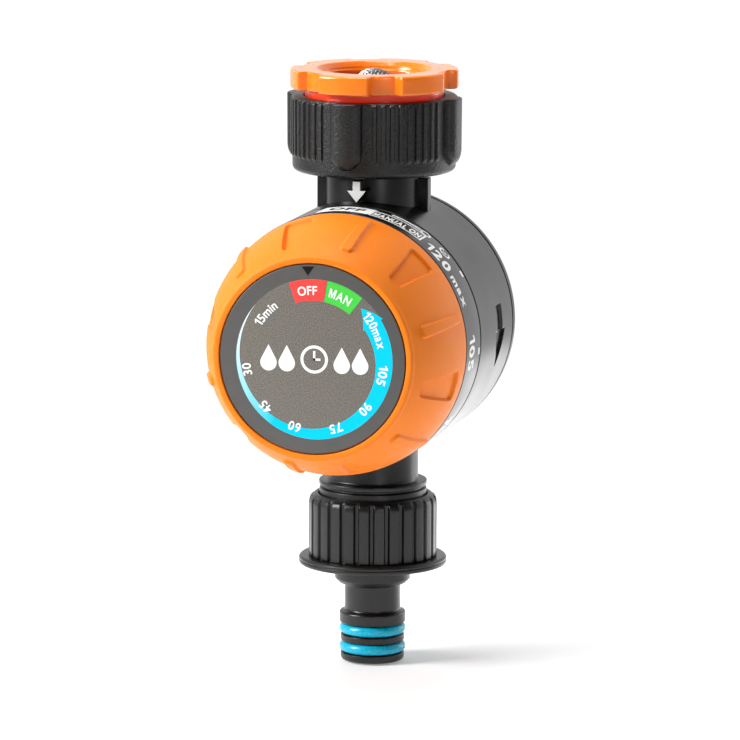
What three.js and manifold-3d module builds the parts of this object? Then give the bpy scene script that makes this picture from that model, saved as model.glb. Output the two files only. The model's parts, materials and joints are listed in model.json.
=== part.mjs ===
// Clockwork tap timer for drip irrigation.
//
// A drum-shaped housing hangs under a garden tap. Water enters through the swivel nut on
// top, passes a spring-loaded plug valve in the wet chamber at the back, and leaves through
// the click-on hose spigot at the bottom. The dial on the front winds a clockwork and
// turns a face cam that holds the valve open until the time has run down.
//
// Millimetres, +Z up, -Y towards the dial. Inside the drum group the origin is where the
// pipe axis (Z) crosses the dial axis (Y); the exported group's origin is the centre of
// the inlet's top face.

import * as THREE from 'three';
import { mergeVertices } from 'three/addons/utils/BufferGeometryUtils.js';
import Module from 'manifold-3d';

const wasm = await Module();
wasm.setup();

// ---------------------------------------------------------------- driving dimensions

const clearance = 0.3;         // between pieces that touch or run in one another
const wall = 2.5;              // moulded walls

// Drum: housing, dial ring and back cover
const drumRadius = 31;
const frontReach = 17.7;       // pipe axis to the housing's front edge
const backReach = 13.7;        // pipe axis to the housing's back edge
const partitionFront = 8;      // pipe axis to the dry side of the partition
const partitionThickness = 2.5;
const coverThickness = 3;
const coverScrewFloor = 1.2;     // plate left under a cover screw's head
const coverEdge = 1;           // chamfer
const chamberRadius = 20;      // wet chamber behind the partition
const sealThickness = 1.5;

// Arrow sunk in the housing's side
const arrowTop = 5.7;          // above the dial axis
const arrowNeck = -0.5;        // where the shaft meets the head
const arrowTip = -9.1;
const arrowShaftWidth = 4.7;
const arrowHeadWidth = 8.9;
const arrowOffset = 1;         // behind the pipe axis
const arrowDepth = 0.8;

// Pointer on the neck, over the dial ring
const pointerReach = 16.2;     // pipe axis to the pointer's face
const pointerShaftWidth = 1.9;
const pointerWidth = 4.8;
const pointerHeight = 5.2;
const pointerHeadHeight = 2.9;
const pointerGap = 0.3;        // tip above the drum

// Dial
const dialRingDepth = 13.3;
const dialRingWall = 2.5;
const gripDepth = 23.4;
const gripLip = 1.8;           // width of the lip around the label
const gripLipDepth = 1.2;
const gripThickness = 3;
const gripDomePower = 1.9;     // fullness of the dome from rim to lip
const gripRepeats = 6;
const pocketAngle = 45;        // degrees, the first of each
const pocketDepth = 1.5;
const pocketRimWidth = 8.4;
const pocketLipWidth = 3.2;
const barAngle = 15;
const barRimWidth = 1.8;
const barLipWidth = 2.8;
const barHeight = 0.7;
const labelRadius = 22.2;
const labelThickness = 1;
const coreWall = 2;
const coreSeat = 1.7;          // label to the core behind it
const hubRadius = 5.5;

// Inlet
const neckHeight = 6;          // drum to the top of the neck
const neckRadius = 11.4;
const neckFinSpan = 27.4;      // from fin edge to fin edge, through the neck
const neckFinThickness = 3;
const neckFinDrop = 1.2;       // fin top below the neck's top
const tubeRadius = 11;
const waterwayRadius = 7;
const nutHeight = 18;
const nutRadius = 19.6;
const nutWeb = 3.2;
const nutPlainBand = 4;
const nutLobes = 4;
const nutFirstLobe = -95;      // degrees
const nutLobeRadius = 21.7;
const nutLobeWidth = 7.8;
const nutLobeCorner = 2;
const nutRibsPerSide = 9;
const nutRibPitch = 6.2;       // degrees
const nutRibHeight = 0.45;
const nutRibCrest = 1;         // degrees, half a rib's crest
const nutRibFoot = 1.9;        // degrees, half a rib's foot
const retainingRingThickness = 1.2;
const retainingRingRadius = 13.6;
const grooveDepth = 1.3;
const washerThickness = 2.5;

// Tap adaptor
const bushingRadius = 16.6;    // 1 in. pipe thread
const socketRadius = 12.4;     // 3/4 in. pipe thread
const socketMouthRadius = 13.5;
const adaptorGap = 1.8;        // bushing seen between nut and collar
const collarHeight = 4.6;
const collarRadius = 20.1;
const collarValleyRadius = 17.9;
const collarLobes = 6;
const collarFirstLobe = -98;   // degrees
const collarCrest = 18;        // degrees, half a lobe's crest
const collarFlank = 4;         // degrees
const adaptorFloor = 2.2;
const filterRadius = 5.5;
const filterWall = 0.6;

// Outlet
const outletNeckLength = 6.7;
const outletNeckRadius = 10.9;
const outletCollarRadius = 13;
const outletCollarThickness = 1.5;
const outletThreadRadius = 12.9;
const outletThreadLength = 12.3;
const outletThreadRelief = 1.2;
const outletChannelWidth = 8;  // from the valve seat down to the bore
const connectorGap = 1.8;      // outlet collar to the connector's top edge
const connectorRadius = 15.4;
const connectorRibs = 26;
const connectorRibHeight = 0.55;
const connectorFloor = 1.6;
const flangeRadius = 17.8;
const flangeThickness = 2.05;
const shoulderRadius = 9.17;
const shoulderLength = 4.65;
const spigotRadius = 7.95;
const spigotNeckStep = 1.25;   // neck inside the spigot's radius
const spigotNeckLength = 7.1;
const spigotCollarLength = 2.7;
const spigotRibStep = 0.3;     // ribs inside the spigot's radius
const spigotRibLength = 1.5;
const spigotTipLength = 1.9;
const spigotWall = 1.1;        // bore to the floor of a ring groove
const ringSection = 1.3;       // radius of the rubber rings' section
const ringGroove = 2.95;

// Valve
const valveOffset = 8;         // dial axis down to the valve axis
const seatRadius = 4;
const seatReach = 4;           // pipe axis to the valve seat
const sealRadius = 6;
const sealDisc = 2;
const stemRadius = 1.5;
const stemHeadRadius = 2.4;
const stemHeadThickness = 0.8;
const stemHeadReach = 11.5;
const glandSection = 0.7;
const glandThickness = 0.7;
const glandPocketDepth = 2.5;
const valveSpringWire = 0.45;
const valveSpringTurns = 4;

// Clockwork
const arborRadius = 2.5;
const hubShaftRadius = 3;
const hubShaftRecess = 6;      // shaft's front end behind the core's face
const camThickness = 2;
const camLift = 2.5;
const camTrackWidth = 3.6;
const camNotch = 34;           // degrees
const plateRadius = 24.5;
const plateThickness = 1.5;
const layerPitch = 3;          // from one wheel to the next along the dial axis
const wheelThickness = 1.5;
const mainTeeth = 34;
const mainPinionTeeth = 8;
const mainModule = 0.8;
const trainTeeth = 28;
const trainPinionTeeth = 8;
const trainModule = 0.5;
const trainStart = -60;        // degrees, place of the second wheel around the dial axis
const escapeTeeth = 15;
const escapeRadius = 5.6;
const wheelShaftRadius = 0.9;
const balanceDistance = 10.4;
const pillarRadius = 2.2;
const pillarCircle = 21.5;
const pillarAngles = [75, 165, 255];
const springHeight = 7.5;
const springInner = 3.4;
const springOuter = 8.6;
const springTurns = 4.5;
const springThickness = 0.45;
const springPostRadius = 1.2;

// Fasteners
const screwShank = 1.2;
const screwHead = 2.8;
const screwHeadThickness = 1.6;
const coverScrewCircle = 25.5;
const coverScrewAngles = [45, 135, 225, 315];
const coverScrewLength = 9;
const knobScrewLength = 9;
const frameScrewDepth = 3;     // tip in front of the partition
const bossRadius = 3;

// ---------------------------------------------------------------- levels along the dial

const housingFront = -frontReach;
const ringBack = housingFront - clearance;
const ringFront = ringBack - dialRingDepth;
const gripBack = ringFront - clearance;
const gripFront = gripBack - gripDepth;
const labelBack = gripFront + labelThickness;
const labelSeat = labelBack + clearance;
const coreFront = labelSeat + coreSeat;
const coreBack = coreFront + coreWall;
const shaftEnd = coreFront + hubShaftRecess;
const partitionBack = partitionThickness - partitionFront;
const chamberEdge = backReach - sealThickness - clearance;
const coverFront = backReach + clearance;
const coverBack = coverFront + coverThickness;
const coverScrewSeat = coverFront + coverScrewFloor;
const arborBack = -partitionFront - 1.2;
const camFace = -(stemHeadReach + clearance);
const camBack = camFace - camLift;
const camFront = camBack - camThickness;
const rearPlateBack = camFront - clearance;
const rearPlateFront = rearPlateBack - plateThickness;
const firstLayer = rearPlateFront - 0.5;
const frontPlateBack = firstLayer - 4 * layerPitch - 0.7;
const frontPlateFront = frontPlateBack - plateThickness;
const rimRadius = drumRadius - 0.1;
const lipRadius = labelRadius + clearance + gripLip;
const springFront = frontPlateBack + 1;
const glandRadius = stemRadius + clearance + 2 * glandSection + 0.1;

// ---------------------------------------------------------------- levels along the pipe

const neckTop = drumRadius + neckHeight;
const nutBase = neckTop + clearance;
const nutTop = nutBase + nutHeight;
const webTop = nutBase + nutWeb;
const retainingRingBase = webTop + clearance;
const retainingRingTop = retainingRingBase + retainingRingThickness;
const tubeTop = retainingRingTop + 1;
const inletWasherBase = tubeTop + clearance;
const bushingBase = inletWasherBase + washerThickness + clearance;
const socketFloor = bushingBase + adaptorFloor;
const filterWasherBase = socketFloor + clearance;
const filterBase = filterWasherBase + washerThickness + clearance;
const collarBase = nutTop + adaptorGap;
const inletTop = collarBase + collarHeight;
const filterTop = inletTop - 0.1;

const outletCollarTop = -(drumRadius + outletNeckLength);
const outletCollarBase = outletCollarTop - outletCollarThickness;
const connectorTop = outletCollarBase - connectorGap;
const outletEnd = outletCollarBase - outletThreadLength;
const outletWasherBase = outletEnd - clearance - washerThickness;
const connectorSeat = outletWasherBase - clearance;
const connectorBase = connectorSeat - connectorFloor;
const flangeBase = connectorBase - flangeThickness;
const shoulderBase = flangeBase - shoulderLength;
const spigotNeckBase = shoulderBase - spigotNeckLength;
const spigotCollarBase = spigotNeckBase - spigotCollarLength;
const upperRingLevel = spigotCollarBase - ringGroove / 2;
const spigotRibTop = spigotCollarBase - ringGroove;
const spigotRibBase = spigotRibTop - spigotRibLength;
const lowerRingLevel = spigotRibBase - ringGroove / 2;
const spigotTipTop = spigotRibBase - ringGroove;
const spigotEnd = spigotTipTop - spigotTipLength;
const ringCentreRadius = spigotRadius + 0.05 - ringSection;
const spigotGrooveRadius = ringCentreRadius - ringSection - clearance;
const spigotNeckRadius = spigotRadius - spigotNeckStep;
const spigotRibRadius = spigotRadius - spigotRibStep;
const spigotBoreRadius = spigotGrooveRadius - spigotWall;

const outletBoreTop = -(chamberRadius - 1);
const outletTubeTop = outletBoreTop + wall;
const seatBoreFront = -seatReach;

// ---------------------------------------------------------------- shape helpers

const radians = THREE.MathUtils.degToRad;
const roundSides = 36;
const gripSides = 24;
const middleSides = 24;
const smallSides = 10;

function toSolid(geometry) {
  const bare = new THREE.BufferGeometry();
  bare.setAttribute('position', geometry.getAttribute('position'));
  bare.setIndex(geometry.getIndex());
  const merged = mergeVertices(bare, 1e-4);
  const corners = merged.getIndex().array;
  const triangles = [];
  for (let i = 0; i < corners.length; i += 3) {
    const [a, b, c] = [corners[i], corners[i + 1], corners[i + 2]];
    if (a !== b && b !== c && c !== a) triangles.push(a, b, c);
  }
  return new wasm.Manifold(new wasm.Mesh({
    numProp: 3,
    vertProperties: new Float32Array(merged.getAttribute('position').array),
    triVerts: new Uint32Array(triangles),
  }));
}

function toGeometry(solid) {
  const mesh = solid.getMesh();
  const geometry = new THREE.BufferGeometry();
  geometry.setAttribute('position', new THREE.BufferAttribute(mesh.vertProperties, 3));
  geometry.setIndex(new THREE.BufferAttribute(mesh.triVerts, 1));
  return geometry;
}

function join(...pieces) {
  return toGeometry(pieces.map(toSolid).reduce((sum, piece) => sum.add(piece)));
}

function cut(body, ...tools) {
  return toGeometry(tools.map(toSolid).reduce((rest, tool) => rest.subtract(tool), toSolid(body)));
}

function common(body, other) {
  return toGeometry(toSolid(body).intersect(toSolid(other)));
}

// A solid of revolution about Y. The profile lists [radius, y] and either starts and ends
// on the axis or goes once round a closed section.
function turnedY(profile, sides = roundSides) {
  const points = profile.map(([radius, y]) => new THREE.Vector2(radius, y));
  const onAxis = points[0].x === 0 && points.at(-1).x === 0;
  if (THREE.ShapeUtils.area(points) < 0) points.reverse();
  if (!onAxis) points.push(points[0].clone());
  return new THREE.LatheGeometry(points, sides);
}

// The same about Z, with [radius, z].
function turnedZ(profile, sides = roundSides) {
  return turnedY(profile, sides).rotateX(Math.PI / 2);
}

function rodZ(radius, low, high, sides = roundSides) {
  return turnedZ([[0, low], [radius, low], [radius, high], [0, high]], sides);
}

function rodY(radius, front, back, sides = roundSides) {
  return turnedY([[0, front], [radius, front], [radius, back], [0, back]], sides);
}

function tubeZ(inner, outer, low, high, sides = roundSides) {
  return turnedZ([[inner, low], [outer, low], [outer, high], [inner, high]], sides);
}

function tubeY(inner, outer, front, back, sides = roundSides) {
  return turnedY([[inner, front], [outer, front], [outer, back], [inner, back]], sides);
}

function block(x, y, z) {
  const geometry = new THREE.BoxGeometry(x[1] - x[0], y[1] - y[0], z[1] - z[0]);
  return geometry.translate((x[0] + x[1]) / 2, (y[0] + y[1]) / 2, (z[0] + z[1]) / 2);
}

// A flat outline drawn in X and Y, raised from low to high.
function raisedZ(shape, low, high) {
  const options = { depth: high - low, bevelEnabled: false, curveSegments: 3 };
  return new THREE.ExtrudeGeometry(shape, options).translate(0, 0, low);
}

// A flat outline drawn in X and Z as seen from the dial side, between two Y levels.
function raisedY(shape, front, back) {
  const options = { depth: back - front, bevelEnabled: false, curveSegments: 3 };
  return new THREE.ExtrudeGeometry(shape, options).rotateX(Math.PI / 2).translate(0, back, 0);
}

function polarPoint(radius, degrees) {
  return new THREE.Vector2(radius * Math.cos(radians(degrees)), radius * Math.sin(radians(degrees)));
}

// A closed outline that repeats a list of [degrees, radius] corners round the axis.
function repeatedOutline(repeats, firstAngle, corners) {
  const points = [];
  for (let i = 0; i < repeats; i += 1) {
    const centre = firstAngle + i * 360 / repeats;
    for (const [degrees, radius] of corners) points.push(polarPoint(radius, centre + degrees));
  }
  return new THREE.Shape(points);
}

function roundedOutline(corners, radius) {
  const shape = new THREE.Shape();
  corners.forEach(([x, y], i) => {
    const corner = new THREE.Vector2(x, y);
    const before = new THREE.Vector2(...corners.at(i - 1));
    const after = new THREE.Vector2(...corners[(i + 1) % corners.length]);
    const start = corner.clone().add(before.sub(corner).setLength(radius));
    const end = corner.clone().add(after.sub(corner).setLength(radius));
    if (i === 0) shape.moveTo(start.x, start.y);
    else shape.lineTo(start.x, start.y);
    shape.quadraticCurveTo(x, y, end.x, end.y);
  });
  shape.closePath();
  return shape;
}

// ---------------------------------------------------------------- gears

// An involute gear outline, drawn round its own axis with a tooth centred on `phase`.
function gearOutline(teeth, module, phase) {
  const pressure = radians(20);
  const pitch = teeth * module / 2;
  const base = pitch * Math.cos(pressure);
  const tip = pitch + 0.8 * module;
  const root = pitch - 1.15 * module;
  const involute = (radius) => {
    const angle = Math.acos(Math.min(1, base / radius));
    return Math.tan(angle) - angle;
  };
  const halfTooth = 0.42 * Math.PI / teeth;
  const halfAngle = (radius) => halfTooth + involute(pitch) - involute(Math.max(radius, base));
  const flank = [root, tip];
  const rising = flank.map((radius) => [-THREE.MathUtils.radToDeg(halfAngle(radius)), radius]);
  const falling = rising.map(([degrees, radius]) => [-degrees, radius]).reverse();
  return repeatedOutline(teeth, phase, [...rising, ...falling]);
}

function layerFront(layer) {
  return firstLayer - layer * layerPitch - wheelThickness;
}

const trainCircle = (mainTeeth + mainPinionTeeth) * mainModule / 2;
const trainStep = 2 * THREE.MathUtils.radToDeg(
  Math.asin((trainTeeth + trainPinionTeeth) * trainModule / 4 / trainCircle),
);
const secondAngle = trainStart;
const thirdAngle = trainStart + trainStep;
const escapeAngle = trainStart + 2 * trainStep;
const balanceStep = 2 * THREE.MathUtils.radToDeg(Math.asin(balanceDistance / 2 / trainCircle));
const balanceAngle = escapeAngle + balanceStep;

// The direction from one place on the train circle to the next, step degrees further round.
function directionOnwards(angle, step) {
  return angle + 90 + step / 2;
}

// A gap faces `towards` when a tooth is centred half a pitch beside it.
function gapAt(towards, teeth) {
  return towards + 180 / teeth;
}

// ---------------------------------------------------------------- scene

const timer = new THREE.Group();
const drum = new THREE.Group();
drum.position.z = -inletTop;
timer.add(drum);

const finishes = {
  blackPlastic: { color: 0x232325, roughness: 0.45, metalness: 0 },
  orangeRubber: { color: 0xf06a1e, roughness: 0.7, metalness: 0 },
  orangePlastic: { color: 0xff6a2a, roughness: 0.3, metalness: 0 },
  greyLabel: { color: 0x646259, roughness: 0.5, metalness: 0 },
  blueRubber: { color: 0x00b4d2, roughness: 0.5, metalness: 0 },
  blackRubber: { color: 0x1a1a1a, roughness: 0.8, metalness: 0 },
  whitePlastic: { color: 0xe9e6dc, roughness: 0.5, metalness: 0 },
  steel: { color: 0xb9bcc0, roughness: 0.3, metalness: 1 },
  brass: { color: 0xc9a24c, roughness: 0.35, metalness: 1 },
};

function add(name, geometry, finish, place = [0, 0, 0]) {
  const mesh = new THREE.Mesh(geometry, new THREE.MeshStandardMaterial(finishes[finish]));
  mesh.name = name;
  mesh.position.set(...place);
  drum.add(mesh);
  return mesh;
}

// A place at an angle round the dial axis, seen from the dial side.
function aroundDial(circle, degrees, y = 0) {
  const point = polarPoint(circle, degrees);
  return [point.x, y, point.y];
}

// ---------------------------------------------------------------- housing

function housingShell() {
  const inner = drumRadius - wall;
  return turnedY([
    [0, -partitionFront],
    [inner, -partitionFront],
    [inner, housingFront],
    [drumRadius, housingFront],
    [drumRadius, backReach],
    [inner, backReach],
    [inner, partitionBack],
    [chamberRadius + wall, partitionBack],
    [chamberRadius + wall, chamberEdge],
    [chamberRadius, chamberEdge],
    [chamberRadius, partitionBack],
    [0, partitionBack],
  ]);
}

// The pipe above the drum with a flat fin on each side.
function neck() {
  const foot = drumRadius - 5;
  const half = neckFinSpan / 2;
  const reach = neckFinThickness / 2;
  return join(
    rodZ(neckRadius, foot, neckTop),
    block([-half, half], [-reach, reach], [foot, neckTop - neckFinDrop]),
  );
}

// An arrow that points down, drawn with its tip at the origin.
function downArrow(shaftWidth, headWidth, headHeight, height) {
  const shaft = shaftWidth / 2;
  const head = headWidth / 2;
  return new THREE.Shape([
    new THREE.Vector2(0, 0),
    new THREE.Vector2(head, headHeight),
    new THREE.Vector2(shaft, headHeight),
    new THREE.Vector2(shaft, height),
    new THREE.Vector2(-shaft, height),
    new THREE.Vector2(-shaft, headHeight),
    new THREE.Vector2(-head, headHeight),
  ]);
}

function pointer() {
  const outline = downArrow(pointerShaftWidth, pointerWidth, pointerHeadHeight, pointerHeight);
  return raisedY(outline, -pointerReach, -neckRadius + 2).translate(0, 0, drumRadius + pointerGap);
}

function sideArrow() {
  const outline = downArrow(arrowShaftWidth, arrowHeadWidth, arrowNeck - arrowTip, arrowTop - arrowTip);
  const prism = raisedY(outline, 0, wall + 1)
    .rotateZ(Math.PI / 2)
    .translate(drumRadius + 1, arrowOffset, arrowTip);
  return common(prism, tubeY(drumRadius - arrowDepth, drumRadius + 2, housingFront, backReach));
}

function frameBosses() {
  const front = rearPlateBack + clearance;
  return pillarAngles.map((angle) => rodY(bossRadius, front, -partitionFront, smallSides)
    .translate(...aroundDial(pillarCircle, angle)));
}

function coverScrewPlaces() {
  return coverScrewAngles.map((angle) => aroundDial(coverScrewCircle, angle));
}

function coverBosses() {
  return coverScrewPlaces().map((place) => rodY(bossRadius, partitionBack, backReach, smallSides)
    .translate(...place));
}

function housing() {
  const innerTube = waterwayRadius + wall;
  const hole = screwShank + clearance;
  const channel = outletChannelWidth / 2;
  const body = join(
    housingShell(),
    neck(),
    pointer(),
    rodZ(tubeRadius, drumRadius - 3, tubeTop, middleSides),
    rodZ(innerTube, chamberRadius - 1, drumRadius, middleSides),
    rodZ(innerTube, -drumRadius, outletTubeTop, middleSides),
    rodZ(outletNeckRadius, outletEnd, -drumRadius + 3, middleSides),
    rodZ(outletCollarRadius, outletCollarBase, outletCollarTop, middleSides),
    rodZ(outletThreadRadius, outletEnd, outletCollarBase - outletThreadRelief, middleSides),
    block([-channel - wall, channel + wall], [-partitionFront, wall - 1], [-chamberRadius, -valveOffset]),
    rodY(seatRadius + wall, -partitionFront, seatReach, middleSides).translate(0, 0, -valveOffset),
    ...frameBosses(),
    ...coverBosses(),
  );
  const groove = tubeZ(
    tubeRadius - grooveDepth,
    tubeRadius + 1,
    retainingRingBase - 0.1,
    retainingRingTop + 0.1,
    middleSides,
  );
  return cut(
    body,
    rodZ(waterwayRadius, chamberRadius - 1.5, tubeTop + 1, middleSides),
    rodZ(waterwayRadius, outletEnd - 1, outletBoreTop, middleSides),
    block([-channel, channel], [seatBoreFront, 0], [outletBoreTop - 2, -valveOffset]),
    rodY(seatRadius, seatBoreFront, seatReach + 1, middleSides).translate(0, 0, -valveOffset),
    rodY(stemRadius + clearance, -partitionFront - 1, 0, smallSides).translate(0, 0, -valveOffset),
    glandPocket(),
    groove,
    sideArrow(),
    ...pillarAngles.map((angle) => rodY(hole, rearPlateFront, -partitionFront - 1, smallSides)
      .translate(...aroundDial(pillarCircle, angle))),
    ...coverScrewPlaces().map((place) => rodY(hole, backReach - coverScrewLength, coverFront, smallSides)
      .translate(...place)),
  );
}

function glandPocket() {
  return rodY(glandRadius, -partitionFront - 1, -partitionFront + glandPocketDepth, smallSides)
    .translate(0, 0, -valveOffset);
}

function backCover() {
  const plate = turnedY([
    [0, coverFront],
    [drumRadius, coverFront],
    [drumRadius, coverBack - coverEdge],
    [drumRadius - coverEdge, coverBack],
    [0, coverBack],
  ]);
  const holes = coverScrewPlaces().flatMap((place) => [
    rodY(screwShank + clearance, backReach, coverBack, smallSides).translate(...place),
    rodY(screwHead + clearance, coverScrewSeat, coverBack + 1, smallSides).translate(...place),
  ]);
  return cut(plate, ...holes);
}

// A pan head with its shank towards -Y; the head's underside is at y = 0.
function screw(shankLength) {
  return turnedY([
    [0, -shankLength],
    [screwShank, -shankLength],
    [screwShank, 0],
    [screwHead, 0],
    [screwHead, screwHeadThickness * 0.7],
    [screwHead * 0.75, screwHeadThickness],
    [0, screwHeadThickness],
  ], smallSides);
}

add('main_housing', housing(), 'blackPlastic');
add('back_cover', backCover(), 'blackPlastic');
add('cover_seal', tubeY(
  chamberRadius + clearance,
  chamberRadius + wall - clearance,
  backReach - sealThickness,
  backReach,
), 'blackRubber');
coverScrewPlaces().forEach(([x, , z], i) => {
  add(`cover_screw_${i + 1}`, screw(coverScrewLength), 'steel', [x, coverScrewSeat + 0.1, z]);
});

// ---------------------------------------------------------------- inlet

function retainingRing() {
  const inner = tubeRadius - grooveDepth + clearance;
  return cut(
    tubeZ(inner, retainingRingRadius, retainingRingBase, retainingRingTop, middleSides),
    block([-3, 3], [0, 20], [retainingRingBase - 1, retainingRingTop + 1]),
  );
}

function nutRibOutline() {
  const root = nutRadius - 0.1;
  const corners = [[0, root], [8, root], [15, root]];
  for (let i = 0; i < nutRibsPerSide; i += 1) {
    const centre = 180 / nutLobes + (i - (nutRibsPerSide - 1) / 2) * nutRibPitch;
    corners.push([centre - nutRibFoot, root], [centre - nutRibCrest, root + nutRibHeight]);
    corners.push([centre + nutRibCrest, root + nutRibHeight], [centre + nutRibFoot, root]);
  }
  corners.push([360 / nutLobes - 15, root], [360 / nutLobes - 8, root]);
  return repeatedOutline(nutLobes, nutFirstLobe, corners);
}

function nutLobe(angle) {
  const half = nutLobeWidth / 2;
  const outline = roundedOutline([
    [nutRadius - 3, -half],
    [nutLobeRadius, -half],
    [nutLobeRadius, half],
    [nutRadius - 3, half],
  ], nutLobeCorner);
  return raisedZ(outline, nutBase + 2, nutTop - 0.2).rotateZ(radians(angle));
}

function inletNut() {
  const bodyTurned = turnedZ([
    [0, nutBase],
    [nutRadius - 1.2, nutBase],
    [nutRadius, nutBase + 1.2],
    [nutRadius, nutBase + nutPlainBand],
    [nutRadius - 0.3, nutBase + nutPlainBand],
    [nutRadius - 0.3, nutTop],
    [0, nutTop],
  ]);
  const lobes = [];
  for (let i = 0; i < nutLobes; i += 1) lobes.push(nutLobe(nutFirstLobe + i * 360 / nutLobes));
  const ribs = raisedZ(nutRibOutline(), nutBase + nutPlainBand, nutTop - 0.2);
  return cut(
    join(bodyTurned, ribs, ...lobes),
    rodZ(tubeRadius + clearance, nutBase - 1, webTop + 1),
    rodZ(bushingRadius + clearance, webTop, nutTop + 1),
  );
}

function adaptorCollar() {
  const valley = collarValleyRadius;
  const middle = (valley + collarRadius) / 2;
  const foot = collarCrest + collarFlank;
  const outline = repeatedOutline(collarLobes, collarFirstLobe, [
    [-foot, valley],
    [-collarCrest - collarFlank / 2, middle],
    [-collarCrest, collarRadius - 0.2],
    [-collarCrest * 2 / 3, collarRadius],
    [-collarCrest * 2 / 9, collarRadius],
    [collarCrest * 2 / 9, collarRadius],
    [collarCrest * 2 / 3, collarRadius],
    [collarCrest, collarRadius - 0.2],
    [collarCrest + collarFlank / 2, middle],
    [foot, valley],
    [180 / collarLobes, valley],
  ]);
  return raisedZ(outline, collarBase, inletTop);
}

function tapAdaptor() {
  const socket = turnedZ([
    [0, socketFloor],
    [socketRadius, socketFloor],
    [socketRadius, inletTop - 1.2],
    [socketMouthRadius, inletTop],
    [socketMouthRadius, inletTop + 1],
    [0, inletTop + 1],
  ]);
  return cut(
    join(rodZ(bushingRadius, bushingBase, collarBase + 1), adaptorCollar()),
    socket,
    rodZ(waterwayRadius + 0.5, bushingBase - 1, socketFloor + 1),
  );
}

// A thin mesh thimble with a brim, open below.
function filterScreen() {
  const brim = socketRadius - 1;
  const straight = filterTop - filterRadius;
  const outside = [];
  const inside = [];
  const steps = 4;
  for (let i = 0; i <= steps; i += 1) {
    const angle = i / steps * Math.PI / 2;
    const inner = filterRadius - filterWall;
    outside.push([filterRadius * Math.cos(angle), straight + filterRadius * Math.sin(angle)]);
    inside.push([inner * Math.cos(angle), straight + inner * Math.sin(angle)]);
  }
  outside[steps][0] = 0;
  inside[steps][0] = 0;
  return turnedZ([
    ...inside.reverse(),
    [filterRadius - filterWall, filterBase],
    [brim, filterBase],
    [brim, filterBase + filterWall],
    [filterRadius, filterBase + filterWall],
    ...outside,
  ], middleSides);
}

add('retaining_ring', retainingRing(), 'steel');
add('inlet_nut', inletNut(), 'blackPlastic');
add('inlet_washer', tubeZ(
  waterwayRadius + 0.5,
  bushingRadius - 0.5,
  inletWasherBase,
  inletWasherBase + washerThickness,
  middleSides,
), 'blackRubber');
add('tap_adaptor', tapAdaptor(), 'orangePlastic');
add('filter_washer', tubeZ(
  waterwayRadius,
  socketRadius - 0.4,
  filterWasherBase,
  filterWasherBase + washerThickness,
  middleSides,
), 'blackRubber');
add('filter_screen', filterScreen(), 'steel');

// ---------------------------------------------------------------- outlet

function connectorRibOutline() {
  const root = connectorRadius - connectorRibHeight;
  const pitch = 360 / connectorRibs;
  return repeatedOutline(connectorRibs, 0, [
    [-0.36 * pitch, root],
    [-0.24 * pitch, connectorRadius],
    [0.24 * pitch, connectorRadius],
    [0.36 * pitch, root],
  ]);
}

function outletConnector() {
  const root = connectorRadius - 0.9;
  const outside = turnedZ([
    [0, connectorTop],
    [root - 0.5, connectorTop],
    [root, connectorTop - 0.6],
    [root, connectorBase],
    [flangeRadius - 0.3, connectorBase],
    [flangeRadius, connectorBase - 0.4],
    [flangeRadius, flangeBase + 0.4],
    [flangeRadius - 0.3, flangeBase],
    [shoulderRadius, flangeBase],
    [shoulderRadius, shoulderBase + 1],
    [shoulderRadius - 1, shoulderBase],
    [spigotNeckRadius, shoulderBase],
    [spigotNeckRadius, spigotNeckBase],
    [spigotRadius, spigotNeckBase],
    [spigotRadius, spigotCollarBase],
    [spigotGrooveRadius, spigotCollarBase],
    [spigotGrooveRadius, spigotRibTop],
    [spigotRibRadius, spigotRibTop],
    [spigotRibRadius, spigotRibBase],
    [spigotGrooveRadius, spigotRibBase],
    [spigotGrooveRadius, spigotTipTop],
    [spigotRibRadius, spigotTipTop],
    [spigotRibRadius, spigotEnd + 0.9],
    [spigotRibRadius - 0.9, spigotEnd],
    [0, spigotEnd],
  ], middleSides);
  return cut(
    join(outside, raisedZ(connectorRibOutline(), connectorBase, connectorTop - 1)),
    rodZ(outletThreadRadius + clearance, connectorSeat, connectorTop + 1, middleSides),
    rodZ(spigotBoreRadius, spigotEnd - 1, connectorSeat + 1, middleSides),
  );
}

// A round rubber ring lying flat round Z.
function rubberRing(centreRadius, section) {
  const profile = [];
  for (let i = 0; i < 6; i += 1) {
    const angle = radians(60 * i);
    profile.push([centreRadius + section * Math.cos(angle), section * Math.sin(angle)]);
  }
  return profile;
}

add('outlet_connector', outletConnector(), 'blackPlastic');
const spigotRing = turnedZ(rubberRing(ringCentreRadius, ringSection), middleSides);
add('spigot_ring_upper', spigotRing, 'blueRubber', [0, 0, upperRingLevel]);
add('spigot_ring_lower', spigotRing.clone(), 'blueRubber', [0, 0, lowerRingLevel]);
add('outlet_washer', tubeZ(
  waterwayRadius,
  outletThreadRadius - 0.2,
  outletWasherBase,
  outletWasherBase + washerThickness,
  middleSides,
), 'blackRubber');

// ---------------------------------------------------------------- dial

function domeRadius(share, offset) {
  return lipRadius + offset + (rimRadius - lipRadius) * (1 - share ** gripDomePower);
}

// The dome from rim to lip, moved out or in by an offset.
function domeProfile(offset) {
  const depth = gripDepth - gripLipDepth;
  const profile = [];
  const steps = 3;
  for (let i = 0; i <= steps; i += 1) {
    const share = i / steps;
    profile.push([domeRadius(share, offset), gripBack - share * depth]);
  }
  return profile;
}

function domeSolid(offset) {
  return turnedY([[0, gripBack], ...domeProfile(offset), [0, gripFront + gripLipDepth]], gripSides);
}

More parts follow.
